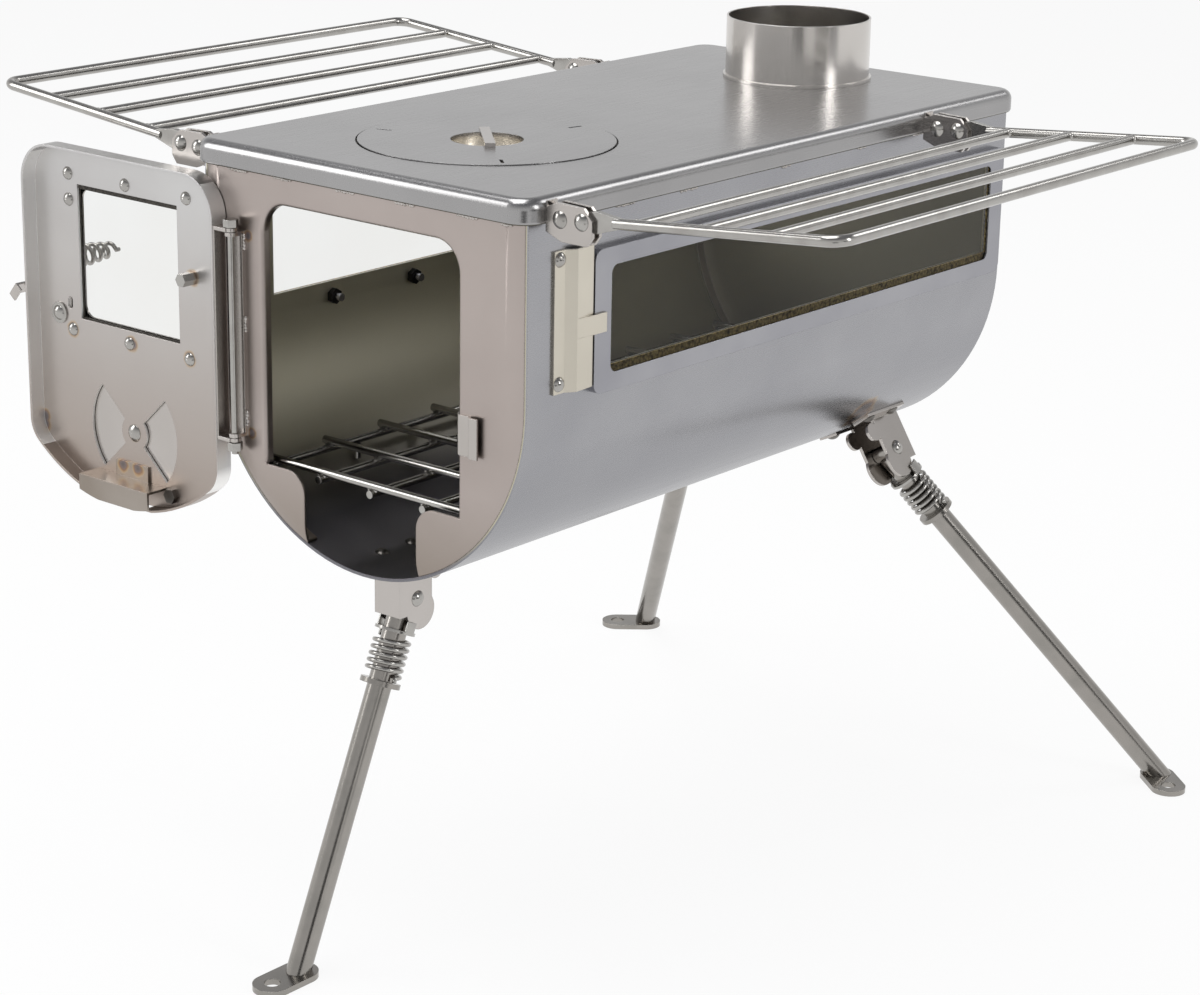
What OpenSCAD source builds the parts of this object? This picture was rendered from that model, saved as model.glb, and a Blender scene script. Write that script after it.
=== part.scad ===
// Folding tent wood stove of sheet steel: door open, side shelves out, three legs down.
// The modules work in the body's frame, in millimetres: x = 0 is the centre plane, y = 0 the
// front edge of the lid and z = 0 the top of the lid. place() moves that frame so that the
// part's origin lies on the floor under the middle of its footprint.

/* [Body] */
// Width of the wrapped shell over its outer faces
body_w = 202; // [194:1:208]
// Length of the shell from its front edge to its rear edge
shell_len = 380; // [360:1:400]
// Height from the lid's top to the lowest line of the shell
body_h = 195.4; // [188:0.1:204]
// Thickness of the shell's sheet
shell_t = 1.5; // [1:0.1:2]
// Height of the lid's top above the floor with the legs down
stove_h = 385.5; // [370:0.5:410]

/* [Lid] */
// How far the lid's skirt stands out past each side wall
lid_side = 4; // [3.7:0.1:4.5]
// How far the lid's skirt stands out past the shell's front and rear edges
lid_end = 6; // [5.5:0.1:8]
// Thickness of the lid's sheet
lid_t = 1.2; // [1:0.1:1.4]
// Depth of the lid's skirt
skirt_h = 11.7; // [10:0.1:14]
// Radius of the lid's corners, seen from above
lid_corner = 11.5; // [9:0.5:13]
// Radius of the lid's top edge
lid_edge = 5; // [3:0.5:6]
// Radius of the curl along the skirt's lower edge
curl_r = 1.7; // [1.4:0.1:1.8]
// Radius of the hotplate
hot_r = 61; // [54:1:64]
// Distance of the hotplate's middle from the lid's front edge
hot_y = 92; // [88:1:100]
// Thickness of the hotplate
hot_t = 3; // [2.4:0.1:4]
// How far the hotplate stands above the lid
hot_rise = 0.4; // [0.2:0.1:0.8]
// Gap around the hotplate in its hole
hot_gap = 0.9; // [0.5:0.1:1.5]
// Radius of the cup pressed in the hotplate's middle
cup_r = 17.3; // [14:0.1:22]
// Depth of that cup
cup_h = 7; // [5:0.5:9]
// Outer radius of the flue collar
flue_r = 38; // [32:0.5:44]
// Wall of the flue collar
flue_t = 1; // [0.8:0.1:1.5]
// Height of the flue collar above the lid
flue_h = 32; // [25:1:45]
// Distance of the collar's axis from the lid's front edge
flue_y = 338; // [325:1:342]

/* [End panels] */
// Thickness of the end panels
panel_t = 1.2; // [1:0.1:1.4]
// How far the end panels' faces stand out past the shell's edges
panel_out = 1.9; // [1.7:0.1:2]
// Radius of the dished band around each end panel, in section
dish_r = 24; // [23:0.5:26]
// Width of that dished band
dish_w = 9.4; // [9:0.1:10]
// Depth of the flange by which each end panel stands in the shell
panel_flange = 6.5; // [5:0.5:6.5]
// Clearance of the end panels in the shell
panel_gap = 0.1; // [0.05:0.01:0.2]

/* [Fire opening] */
// Width of each jamb, from the shell's outer face to the clear opening
jamb_w = 39.4; // [39:0.1:42]
// Depth of the opening's head below the lid's top
opening_top = 25.6; // [24:0.1:30]
// Radius of the opening's upper corners
opening_r = 14.2; // [12:0.1:18]
// Radius of the rolled edge around the opening
roll_r = 2.4; // [2:0.1:3]
// Depth of the flange behind that rolled edge
jamb_depth = 5; // [4.5:0.1:6]
// Height of the lower lips' top edge above the shell's lowest line
lip_up = 42.9; // [40:0.1:45]
// Width of the ash slot below the lips
slot_w = 72.2; // [68:0.1:76]
// Radius where each lip turns down into the ash slot
slot_corner = 11; // [8:0.5:13]

/* [Side windows] */
// Front end of the window frames, from the lid's front edge
win_front = 47; // [46.5:0.1:49]
// Length of the window frames
win_len = 333; // [320:1:334]
// Depth of the frames' upper edge below the lid's top
win_top = 29; // [28:0.1:31]
// How far the window frames reach below the flat part of the walls
win_dip = 1.1; // [0.5:0.1:1.2]
// How much nearer the front the left window sits than the right one
left_lead = 9; // [0:0.5:9]
// How far the frames stand off the wall
win_d = 4; // [3.6:0.1:4.6]
// Thickness of the frames' sheet
win_t = 1; // [0.8:0.1:1.2]
// Width of the frames' band at the ends
win_band_end = 11.5; // [9:0.1:12]
// Width of the frames' band along the top and the bottom
win_band = 8.4; // [7.5:0.1:8.4]
// Thickness of the side panes
pane_t = 2; // [1.5:0.1:2.2]
// Number of studs along each frame's lower edge
stud_count = 5; // [4:1:6]
// Radius of those studs
stud_r = 2; // [1.5:0.1:2]
// Thickness of the folded clips at the windows' front ends
clip_t = 1.2; // [1:0.1:1.4]

/* [Door] */
// Depth of the door's upper edge below the lid's top
door_top = 16.5; // [16:0.1:19]
// Radius of the door's upper corners
door_upper_r = 20; // [15:0.5:24]
// Radius of the door's lower corners
door_lower_r = 15; // [12:0.5:18]
// How far the door's round lower edge stays inside the shell's outline
door_inset = 2.5; // [2:0.1:4]
// Depth of the door pan's rim
door_depth = 8; // [7:0.1:9]
// Thickness of the door's sheet
door_t = 1.2; // [1:0.1:1.4]
// Gap between the closed door's rim and the front panel
rim_gap = 1.2; // [1:0.1:1.5]
// Gap between the open door's back and the plane of the front panel
open_gap = 0.4; // [0.3:0.1:0.8]
// Width of the door left on either side of its window frame
door_band = 23; // [22.5:0.1:24]
// Depth of that frame's upper edge below the lid's top
door_win_top = 27.5; // [26:0.1:30]
// Height of that frame's lower edge above the shell's lowest line
door_win_low = 81.9; // [80:0.1:84]
// How far that frame stands off the door
door_win_d = 4.2; // [4:0.1:4.8]

/* [Hinge and latch] */
// Distance of the hinge pin inside the shell's outer face
hinge_in = 24.2; // [24:0.1:25]
// Distance between the hinge pin and the door's edge
hinge_side = 8.5; // [8:0.1:9]
// Radius of the hinge pin
pin_r = 1.7; // [1.6:0.05:1.9]
// Radial running clearance of pins and rivets in moving parts
fit = 0.06; // [0.04:0.01:0.09]
// Height of the hinge bracket's foot above the shell's lowest line
hinge_foot = 54.4; // [54:0.1:62]
// Depth of the hinge bracket's top below the lid's top
hinge_top = 41.1; // [40:0.1:44]
// Turn of the latch hook from latched to free, in degrees
latch_turn = 40; // [35:1:42]
// Diameter of the wire that the handle's grip is wound from
grip_wire = 2.2; // [1.8:0.1:2.4]
// Turns of the handle's grip
grip_turns = 5.5; // [4:0.5:6]

/* [Air inlet] */
// Radius of the air damper
damper_r = 33; // [31.5:0.5:34]
// Outer radius of the two air openings
vent_r = 31; // [28:0.5:31]
// Half the angle of each air opening, in degrees
vent_half = 43; // [35:1:44]

/* [Grate] */
// Diameter of the grate's rods
grate_rod = 4; // [3:0.1:4.4]
// Number of cross rods
grate_count = 10; // [8:1:12]
// Distance between cross rods
grate_pitch = 38.9; // [34:0.1:39]
// Length of the cross rods
grate_w = 140; // [136:1:150]

/* [Shelves] */
// Diameter of the shelves' rods
shelf_rod = 5; // [4.4:0.1:5.2]
// Distance of the shelves' outer rods from the centre plane
shelf_reach = 258; // [240:1:270]
// Distance between the shelves' long rods
shelf_pitch = 35; // [30:0.5:36]
// Distance of the shelves' front rods behind the lid's front edge
shelf_front = 16; // [14:0.5:17]
// Length of the shelves between their front and rear rods
shelf_len = 290; // [270:1:300]
// Upward tilt of the shelves, in degrees
shelf_tilt = 5.15; // [3:0.05:7]
// Thickness of the flattened ends of the shelves' rods
tongue_t = 3; // [2.4:0.1:3.4]
// Thickness of the shelf brackets' sheet
bracket_t = 1.8; // [1.4:0.1:2]

/* [Legs] */
// Diameter of the leg tubes
tube_d = 12; // [11:0.5:12]
// Wall of the leg tubes
tube_wall = 1; // [0.8:0.1:1.4]
// Forward lean of the front leg, in degrees
front_lean = 23.6; // [20:0.1:26]
// Rearward lean of the rear legs, in degrees
rear_lean = 26; // [22:0.5:28]
// Sideways splay of the rear legs, in degrees
rear_splay = 32.6; // [30:0.1:35]
// Distance of the front leg's pivot behind the lid's front edge
front_leg_y = 35; // [32:0.5:40]
// Distance of the rear legs' pivots behind the lid's front edge
rear_leg_y = 342.8; // [335:0.1:348]
// Depth of the front pivot below the shell
front_drop = 16.6; // [16.4:0.1:18]
// Depth of the rear pivots below the shell
rear_drop = 19.6; // [19:0.1:21]
// Thickness of the leg brackets' sheet
leg_bracket_t = 1.8; // [1.5:0.1:2]
// Travel of the locking cups down the legs
cup_travel = 8; // [7:0.5:9]
// Outer diameter of the leg springs
spring_d = 18.9; // [18:0.1:19.2]
// Diameter of the leg springs' wire
spring_wire = 2.2; // [1.8:0.1:2.2]
// Free length of the leg springs
spring_len = 22.6; // [21:0.1:25]
// Turns of the leg springs
spring_turns = 5.5; // [4.5:0.5:5.5]
// Width of the foot plates
foot_w = 19; // [17:0.5:21]
// Distance between the two round ends of a foot plate
foot_reach = 17.5; // [15:0.5:20]
// Thickness of the foot plates
foot_t = 3; // [2:0.1:4]
// Radius of the peg holes in the foot plates
peg_r = 4; // [3:0.1:5]

/* [Hidden] */
$fn = 96;

// A cut runs this far past the faces that it opens
past = 1;
far = 600;

// Body and lid
body_r = body_w / 2;
side_h = body_h - body_r;
shell_front = lid_end;
shell_rear = shell_front + shell_len;
lid_w = body_w + 2 * lid_side;
lid_len = shell_len + 2 * lid_end;
mid_y = lid_len / 2;
// The walls end under the curve of the lid's edge, and are cut away under its corners
under_edge = max(0, lid_edge - min(lid_side, lid_end - panel_out));
wall_top = lid_edge - sqrt(pow(lid_edge - lid_t, 2) - pow(under_edge, 2)) + 0.05;
corner_relief = 5;
hot_hole_r = hot_r + hot_gap;
seat_t = hot_t - hot_rise - lid_t;
seat_r = hot_hole_r + 6.1;
ledge_r = hot_r - 5;
ledge_t = 1.4;

// End panels and fire opening
panel_r = body_r - shell_t - panel_gap;
flat_r = panel_r - dish_w;
face_y = shell_front - panel_out;
dish_depth = dish_r - sqrt(dish_r * dish_r - dish_w * dish_w);
jamb_x = body_r - jamb_w;
roll_x = jamb_x + roll_r;
lip_z = body_h - lip_up;

// Side windows
frame_x = body_r + win_d;
win_h = side_h + win_dip - win_top;
gasket_t = win_d - win_t - pane_t;
win_mid = win_front + win_len / 2;
win_mid_z = -win_top - win_h / 2;
pane_margin = 2.5;
pane_low = 6.2;
pane_len = win_len - 2 * pane_margin;
pane_top = win_top + 4;
pane_bottom = win_top + win_h - pane_low;
pane_h = pane_bottom - pane_top;
wall_cut_front = win_front + win_band_end - 1.5;
wall_cut_len = win_len - 2 * win_band_end + 3;
wall_cut_top = win_top + win_band - 0.9;
ledge_h = 3;
wall_cut_bottom = win_top + win_h - win_band - ledge_h;
stud_z = -(pane_bottom + win_top + win_h) / 2 + 0.8;
stud_end = 50.5;
stud_pitch = (win_len - 2 * stud_end) / (stud_count - 1);
stud_tail = 8;
nut_t = 3;
clip_y = win_front - 24.5;
clip_foot = 7;
clip_screw_y = clip_y + clip_foot / 2;
clip_crest_y = clip_y + 12;
clip_crest_x = frame_x + 0.4;
clip_top = win_top - 3;
clip_bottom = win_top + win_h - 4.5;
clip_screw_r = 1.9;
clip_nut_r = 4;
clip_tab_z = win_top + win_h / 2;
clip_tab_w = 9;
clip_tab_over = 7;

// Door, drawn closed: its outside faces the front
rim_y = face_y - rim_gap;
base_in = rim_y - door_depth;
base_out = base_in - door_t;
hinge_x = body_r - hinge_in;
hinge_y = (face_y - open_gap + base_out) / 2;
door_half = hinge_x - hinge_side;
door_arc = body_r - door_inset;
lower_x = door_half - door_lower_r;
lower_z = -side_h - sqrt(pow(door_arc - door_lower_r, 2) - lower_x * lower_x);
door_win_w = 2 * (door_half - door_band);
door_win_h = body_h - door_win_low - door_win_top;
door_win_mid = -door_win_top - door_win_h / 2;
door_view_w = door_win_w - 19;
door_view_top = door_win_top + 8.1;
door_view_bottom = door_win_top + door_win_h - 10;
door_pane_w = door_win_w - 11;
door_pane_top = door_win_top + 6.5;
door_pane_h = door_win_h - 13;
door_gasket_t = door_win_d - win_t - pane_t;
screw_x = door_win_w / 2 - 3;
screw_z = [door_win_top + 3.5, door_win_top + door_win_h - 3.5];
screw_hole_r = 1.6;
vent_x = -0.8;
vent_up = 39.9;
vent_z = vent_up - body_h;
vent_in = 9;
vent_rivet_r = 2.5;
damper_gap = 0.3;
damper_t = 1.2;
damper_y = base_out - damper_gap - damper_t;
damper_tab = [1.2, 8, 12];
lip_x = 1.8;
lip_half = 25;
lip_top_z = 16.4 - body_h;
lip_reach = 13;
lip_drop = 11;
lip_tab = [lip_x - 13, lip_x + 10.6];
lip_tab_h = 8;
lip_arc = door_arc - 2;
lip_bolt_r = 4;
lip_bolt_x = lip_x - lip_half - lip_bolt_r - 0.3;
stud_x = -door_win_w / 2 - 0.4;
door_stud_z = -69.1;

// Hinge and latch
eye_r = pin_r + 1.3;
bracket_gap = 0.4;
web_t = face_y - (hinge_y + 4);
hinge_low = body_h - hinge_foot;
tab_t = 1.9;
leaf_gap = 0.3;
leaf_t = 1.8;
bolt_head_h = 3.7;
bolt_tail = 8.3;
hinge_nut_h = 4;
spindle = [door_half - 16.4, 7 - screw_z[1]];
stop_slot = [spindle[0] - 8.2, spindle[1] + 6.5];
slot_across = 3.4;
slot_up = 6;
spindle_r = 2;
lever_gap = 0.4;
lever_t = 2;
lever_y = base_out - lever_gap - lever_t;
lever_len = 26.3;
lever_angle = 81.3;
finger_t = 1.1;
finger_w = 8;
finger_x = [roll_x + 8.6, roll_x + 12.2];
finger_z = spindle[1] - 9;
finger_y = face_y - 0.3 - finger_t;
hook_t = 1.2;
catch_t = 1;
catch_raise = 1.7;
catch_z = [finger_z - 10, finger_z + 9];

// Shelves
shelf_pivot = [frame_x + 20, -7.7];
stop_rivet = [frame_x + 8, -8.3];
stop_r = 2.4;
pivot_r = 2.5;
tongue_in = 17;
tongue_out = 22;
cheek_gap = tongue_t / 2 + 0.1;
shelf_corner = 8;
rod_r = shelf_rod / 2;

// Legs: [side of the pivot, splay, lean, y of the pivot, depth of the pivot below the shell]
LEG_FRONT = [0, 0, -front_lean, front_leg_y, front_drop];
LEG_LEFT = [-1, rear_splay, rear_lean, rear_leg_y, rear_drop];
LEG_RIGHT = [1, -rear_splay, rear_lean, rear_leg_y, rear_drop];
tube_r = tube_d / 2;
sleeve_r = 4.5;
sleeve_half = tube_r + 0.1;
cheek_in = sleeve_half + 0.3;
cheek_out = cheek_in + leg_bracket_t;
// Round lower ends of the cheeks, on which the locking cup rides when the leg is folded
cheek_eye = [2.3, -6.7];
cheek_eye_r = 9.3;
leg_web = 12.3;
leg_web_low = -7.4;
leg_flange_t = 1.5;
leg_flange_out = 10;
leg_rivet_x = cheek_out + leg_flange_out / 2;
leg_rivet_y = [-2, 19];
leg_rivet_r = 2;
leg_rivet_head = 3.5;
cup_s = norm(cheek_eye) + cheek_eye_r + 0.4;
cup_t = 1.5;
cup_gap = 0.3;
lock_r = spring_d / 2 + 0.45;
ear_t = 1.2;
spring_s = cup_s + cup_t + 0.7;
spring_end = spring_s + spring_len;
washer_t = 2.5;
foot_r = foot_w / 2;

function leg_depth(leg) =
    leg[0] == 0 ? body_h + leg[4] : side_h + (body_r + leg[4]) * cos(rear_splay);
function leg_x(leg) = leg[0] * (body_r + leg[4]) * sin(rear_splay);
function leg_run(leg) =
    (stove_h - foot_t - leg_depth(leg)) / (cos(leg[2]) * cos(leg[1]));
function foot_x(leg) = leg_x(leg) - leg_run(leg) * cos(leg[2]) * sin(leg[1]);
function foot_y(leg) = leg[3] + leg_run(leg) * sin(leg[2]);

footprint_front = foot_y(LEG_FRONT) - foot_reach - foot_r;
footprint_rear = foot_y(LEG_LEFT) + foot_r;
footprint_mid_y = (footprint_front + footprint_rear) / 2;

// Helpers

module place() {
    translate([0, -footprint_mid_y, stove_h]) children();
}

// Draws a flat outline in x and z, and runs it from y0 to y1
module along_y(y0, y1) {
    translate([0, y1, 0]) rotate([90, 0, 0]) linear_extrude(y1 - y0) children();
}

// Draws a flat outline in y and z, and runs it from x0 to x1
module along_x(x0, x1) {
    translate([x0, 0, 0]) rotate([90, 0, 90]) linear_extrude(x1 - x0) children();
}

module along_z(z0, z1) {
    translate([0, 0, z0]) linear_extrude(z1 - z0) children();
}

module rod_x(x0, x1, r) {
    translate([x0, 0, 0]) rotate([0, 90, 0]) cylinder(r = r, h = x1 - x0);
}

module rod_y(y0, y1, r) {
    translate([0, y1, 0]) rotate([90, 0, 0]) cylinder(r = r, h = y1 - y0);
}

module left_and_right() {
    children();
    mirror([1, 0, 0]) children();
}

// Puts what is drawn for the right side on either side
module on_side(side) {
    if (side > 0) children();
    else mirror([1, 0, 0]) children();
}

module rounded_rect(w, h, r) {
    square([w - 2 * r, h], center = true);
    square([w, h - 2 * r], center = true);
    for (sx = [-1, 1], sy = [-1, 1])
        translate([sx * (w / 2 - r), sy * (h / 2 - r)]) circle(r);
}

// A low dome on the plane z = 0
module dome(r, h) {
    ball = (r * r + h * h) / (2 * h);
    rotate_extrude() intersection() {
        translate([0, h - ball]) circle(ball);
        square([2 * r, 2 * h]);
    }
}

// A rivet along z with its head's seat on z = 0 and its shank below
module rivet(r, head_r, head_h, length) {
    dome(head_r, head_h);
    translate([0, 0, -length]) cylinder(r = r, h = length + head_h / 2);
}

// A rivet with a dome at both ends of its grip, from z = 0 down
module double_rivet(r, head_r, head_h, grip) {
    rivet(r, head_r, head_h, grip);
    translate([0, 0, -grip]) mirror([0, 0, 1]) dome(head_r, head_h);
}

// Runs a profile around a rounded rectangle: profile x is 0 at the edge and negative inside
module ring_sweep(w, l, r) {
    for (i = [0:3]) {
        a = i % 2 == 0 ? w : l;
        b = i % 2 == 0 ? l : w;
        rotate(90 * i) {
            translate([a / 2, b / 2 - r, 0]) rotate([90, 0, 0])
                linear_extrude(b - 2 * r) children();
            translate([a / 2 - r, b / 2 - r, 0])
                rotate_extrude(angle = 90) translate([r, 0]) children();
        }
    }
}

// Flat outline of the body seen from the front, at a given radius
module u_outline(r) {
    intersection() {
        union() {
            translate([0, -side_h]) circle(r);
            translate([-r, -side_h]) square([2 * r, side_h]);
        }
        translate([-far / 2, -far]) square([far, far - wall_top]);
    }
}

// Runs a profile of distance and depth round the body's half-round bottom and up its sides
module u_sweep() {
    translate([0, 0, -side_h]) {
        rotate([-90, 0, 0]) rotate_extrude(angle = 180) children();
        left_and_right() linear_extrude(side_h - wall_top) children();
    }
}

// Body shell

// Puts what is drawn for the right window on either side
module window_side(side) {
    translate([0, side < 0 ? -left_lead : 0, 0]) on_side(side) children();
}

module both_windows() {
    for (side = [-1, 1]) window_side(side) children();
}

module side_window_cut() {
    both_windows() translate([body_r - 3 * shell_t, wall_cut_front, -wall_cut_bottom])
        cube([6 * shell_t, wall_cut_len, wall_cut_bottom - wall_cut_top]);
}

// Clears the rounded corners of the lid and the curl round its skirt
module lid_corner_relief() {
    front = face_y - past;
    size = [corner_relief + past, shell_front + corner_relief - front, skirt_h];
    for (y = [front, lid_len - front - size[1]]) left_and_right()
        translate([body_r - corner_relief, y, -skirt_h]) cube(size);
}

// Axes of the studs that hold the side windows, drawn for the right side
module at_studs() {
    for (i = [0:stud_count - 1])
        translate([0, win_front + stud_end + stud_pitch * i, stud_z]) children();
}

module at_clip_screws() {
    for (z = [clip_top + 4, clip_bottom - 4.5]) translate([0, clip_screw_y, -z]) children();
}

// Axes of the rivets that hold a leg bracket, with z pointing out of the wall
module at_bracket_rivets(leg) {
    flip = leg[0] == 0 ? 1 : -1;
    turn = asin(leg_rivet_x / body_r);
    translate([0, leg[3], -side_h])
        for (s = [-1, 1], y = leg_rivet_y)
            rotate([0, leg[1] + s * turn, 0]) translate([0, flip * y, -body_r])
                rotate([180, 0, 0]) children();
}

module body_shell() {
    color("lightsteelblue") difference() {
        along_y(shell_front, shell_rear) u_outline(body_r);
        along_y(shell_front - past, shell_rear + past) u_outline(body_r - shell_t);
        side_window_cut();
        both_windows() at_studs() rod_x(body_r - 3, body_r + 3, stud_r + 0.2);
        both_windows() at_clip_screws() rod_x(body_r - 3, body_r + 3, clip_screw_r + 0.2);
        lid_corner_relief();
        for (leg = [LEG_FRONT, LEG_LEFT, LEG_RIGHT]) at_bracket_rivets(leg)
            translate([0, 0, -4]) cylinder(r = leg_rivet_r + 0.1, h = 8);
    }
}

// End panels

// Section of an end panel's dished band and flange: distance from the centre, depth
module panel_edge() {
    intersection() {
        translate([flat_r, dish_r]) difference() {
            circle(dish_r);
            circle(dish_r - panel_t);
        }
        translate([flat_r - 0.5, -past]) square([dish_w + 0.5, dish_r / 2]);
    }
    translate([panel_r - panel_t, dish_depth]) square([panel_t, panel_flange]);
}

// The fire opening and ash slot as the flat face is cut
module opening_outline() {
    top = roll_r - opening_top;
    r = opening_r + roll_r;
    translate([-roll_x, -lip_z]) square([2 * roll_x, lip_z + top - r]);
    translate([-roll_x + r, top - r - past]) square([2 * (roll_x - r), r + past]);
    for (s = [-1, 1]) translate([s * (roll_x - r), top - r]) circle(r);
    translate([-slot_w / 2, -2 * body_h]) square([slot_w, 2 * body_h - lip_z + past]);
    for (s = [-1, 1]) difference() {
        translate([s * (slot_w + slot_corner) / 2, -lip_z - slot_corner / 2 + past / 2])
            square([slot_corner, slot_corner + past], center = true);
        translate([s * (slot_w / 2 + slot_corner), -lip_z - slot_corner])
            circle(slot_corner);
    }
}

// Section of the rolled edge: distance outwards from the clear opening, depth
module roll_profile() {
    intersection() {
        translate([roll_r, roll_r]) difference() {
            circle(roll_r);
            circle(roll_r - panel_t);
        }
        square(roll_r);
    }
    translate([0, roll_r]) square([panel_t, jamb_depth - roll_r]);
}

// Runs the rolled edge up one jamb, round the head and down the other
module opening_roll() {
    corner_x = jamb_x - opening_r;
    corner_z = -opening_top - opening_r;
    translate([0, face_y, 0]) {
        left_and_right() {
            translate([jamb_x, 0, -lip_z])
                linear_extrude(lip_z + corner_z) roll_profile();
            translate([corner_x, 0, corner_z]) mirror([0, 0, 1]) rotate([-90, 0, 0])
                rotate_extrude(angle = 90) translate([opening_r, 0]) roll_profile();
        }
        translate([corner_x, 0, -opening_top]) rotate([0, -90, 0])
            linear_extrude(2 * corner_x) roll_profile();
    }
}

module plain_panel() {
    difference() {
        union() {
            along_y(face_y, face_y + panel_t) u_outline(flat_r);
            translate([0, face_y, 0]) u_sweep() panel_edge();
        }
        lid_corner_relief();
    }
}

module front_panel() {
    color("rosybrown") {
        difference() {
            plain_panel();
            along_y(face_y - past, face_y + panel_t + past) opening_outline();
            translate([-slot_w / 2, face_y - past, -2 * body_h])
                cube([slot_w, 2 * panel_flange + past, 2 * body_h - lip_z - 2 * slot_corner]);
        }
        opening_roll();
    }
}

module rear_panel() {
    color("rosybrown") translate([0, lid_len, 0]) mirror([0, 1, 0]) plain_panel();
}

// Lid

module lid_section() {
    intersection() {
        translate([-lid_edge, -lid_edge]) difference() {
            circle(lid_edge);
            circle(lid_edge - lid_t);
        }
        translate([-lid_edge, -lid_edge]) square(lid_edge + past);
    }
    translate([-lid_t, curl_r - skirt_h]) square([lid_t, skirt_h - curl_r - lid_edge]);
    translate([-curl_r, curl_r - skirt_h]) circle(curl_r);
}

module top_plate() {
    color("darkgray") difference() {
        translate([0, mid_y, 0]) {
            along_z(-lid_t, 0) rounded_rect(lid_w - 2 * lid_edge, lid_len - 2 * lid_edge,
                                            lid_corner - lid_edge);
            ring_sweep(lid_w, lid_len, lid_corner) lid_section();
        }
        translate([0, hot_y, -past - lid_t]) cylinder(r = hot_hole_r, h = lid_t + 2 * past);
        translate([0, flue_y, -past - lid_t])
            cylinder(r = flue_r - flue_t, h = lid_t + 2 * past);
    }
}

module flue_collar() {
    foot_bead = 1.2;
    color("gainsboro") translate([0, flue_y, 0]) difference() {
        union() {
            cylinder(r = flue_r, h = flue_h);
            cylinder(r = flue_r + foot_bead, h = 1.5);
        }
        translate([0, 0, -past]) cylinder(r = flue_r - flue_t, h = flue_h + 2 * past);
    }
}

// Stepped ring under the lid that carries the hotplate
module hotplate_seat() {
    color("gray") translate([0, hot_y, -lid_t - seat_t]) difference() {
        translate([0, 0, -ledge_t]) cylinder(r = seat_r, h = ledge_t + seat_t);
        cylinder(r = hot_hole_r, h = seat_t + past);
        translate([0, 0, -ledge_t - past]) cylinder(r = ledge_r, h = ledge_t + 2 * past);
    }
}

module hotplate() {
    slit_w = 1.6;
    slit_in = hot_r - 12;
    slit_out = hot_r - 4;
    color("gray") translate([0, hot_y, hot_rise]) difference() {
        union() {
            translate([0, 0, -hot_t]) cylinder(r = hot_r, h = hot_t);
            translate([0, 0, -cup_h - lid_t]) cylinder(r = cup_r + lid_t, h = cup_h);
        }
        translate([0, 0, -cup_h]) cylinder(r = cup_r, h = cup_h + past);
        for (angle = [79, 199, 319]) rotate(angle)
            translate([slit_in, -slit_w / 2, -hot_t - past])
                cube([slit_out - slit_in, slit_w, hot_t + 2 * past]);
    }
}

// Bar welded across the cup, by which the hotplate is lifted
module hotplate_bar() {
    bar = [2 * cup_r + 5.4, 5, 2];
    color("dimgray") translate([0, hot_y, hot_rise]) rotate(-44)
        translate([-bar[0] / 2, -bar[1] / 2, 0]) cube(bar);
}

// Side windows, drawn for the right side

module window_frame(side) {
    corner = 5;
    color("silver") window_side(side) {
        difference() {
            along_x(body_r, frame_x) translate([win_mid, win_mid_z])
                rounded_rect(win_len, win_h, corner);
            along_x(body_r - past, frame_x - win_t) translate([win_mid, win_mid_z])
                rounded_rect(win_len - 2 * win_t, win_h - 2 * win_t, corner - win_t);
            along_x(body_r, frame_x + past) translate([win_mid, win_mid_z])
                rounded_rect(win_len - 2 * win_band_end, win_h - 2 * win_band, 4);
        }
        at_studs() rod_x(body_r - stud_tail, frame_x - win_t / 2, stud_r);
    }
}

module window_glass(side) {
    color("darkslategray", 0.6) window_side(side) along_x(body_r + gasket_t, frame_x - win_t)
        translate([win_mid - pane_len / 2, -pane_bottom]) square([pane_len, pane_h]);
}

module window_gasket(side) {
    color("black") window_side(side) along_x(body_r, body_r + gasket_t) difference() {
        translate([win_mid - pane_len / 2, -pane_bottom]) square([pane_len, pane_h]);
        translate([wall_cut_front, -wall_cut_bottom])
            square([wall_cut_len, wall_cut_bottom - wall_cut_top]);
    }
}

module window_nuts() {
    color("dimgray") both_windows() at_studs() difference() {
        translate([body_r - shell_t - nut_t, 0, 0]) rotate([0, 90, 0])
            cylinder(r = 2 * stud_r, h = nut_t, $fn = 6);
        rod_x(body_r - shell_t - nut_t - past, body_r, stud_r + 0.05);
    }
}

// Folded strip that closes each window's front end
module window_clip(side) {
    foot_end = clip_y + clip_foot;
    tail_y = win_front - 0.7;
    tail_x = frame_x - 0.4;
    tab_x = frame_x + 0.1;
    color("silver") window_side(side) difference() {
        union() {
            along_z(-clip_bottom, -clip_top) polygon([
                [body_r, clip_y], [body_r + clip_t, clip_y], [body_r + clip_t, foot_end],
                [clip_crest_x, clip_crest_y], [tail_x, tail_y],
                [tail_x - clip_t, tail_y], [clip_crest_x - clip_t, clip_crest_y],
                [body_r, foot_end + clip_t]
            ]);
            along_z(-clip_tab_z - clip_tab_w / 2, -clip_tab_z + clip_tab_w / 2) polygon([
                [clip_crest_x - clip_t, clip_crest_y], [clip_crest_x, clip_crest_y],
                [tab_x + clip_t, tail_y], [tab_x + clip_t, win_front + clip_tab_over],
                [tab_x, win_front + clip_tab_over], [tab_x, tail_y]
            ]);
        }
        at_clip_screws() rod_x(body_r - past, frame_x, clip_screw_r + 0.2);
    }
}

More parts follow.
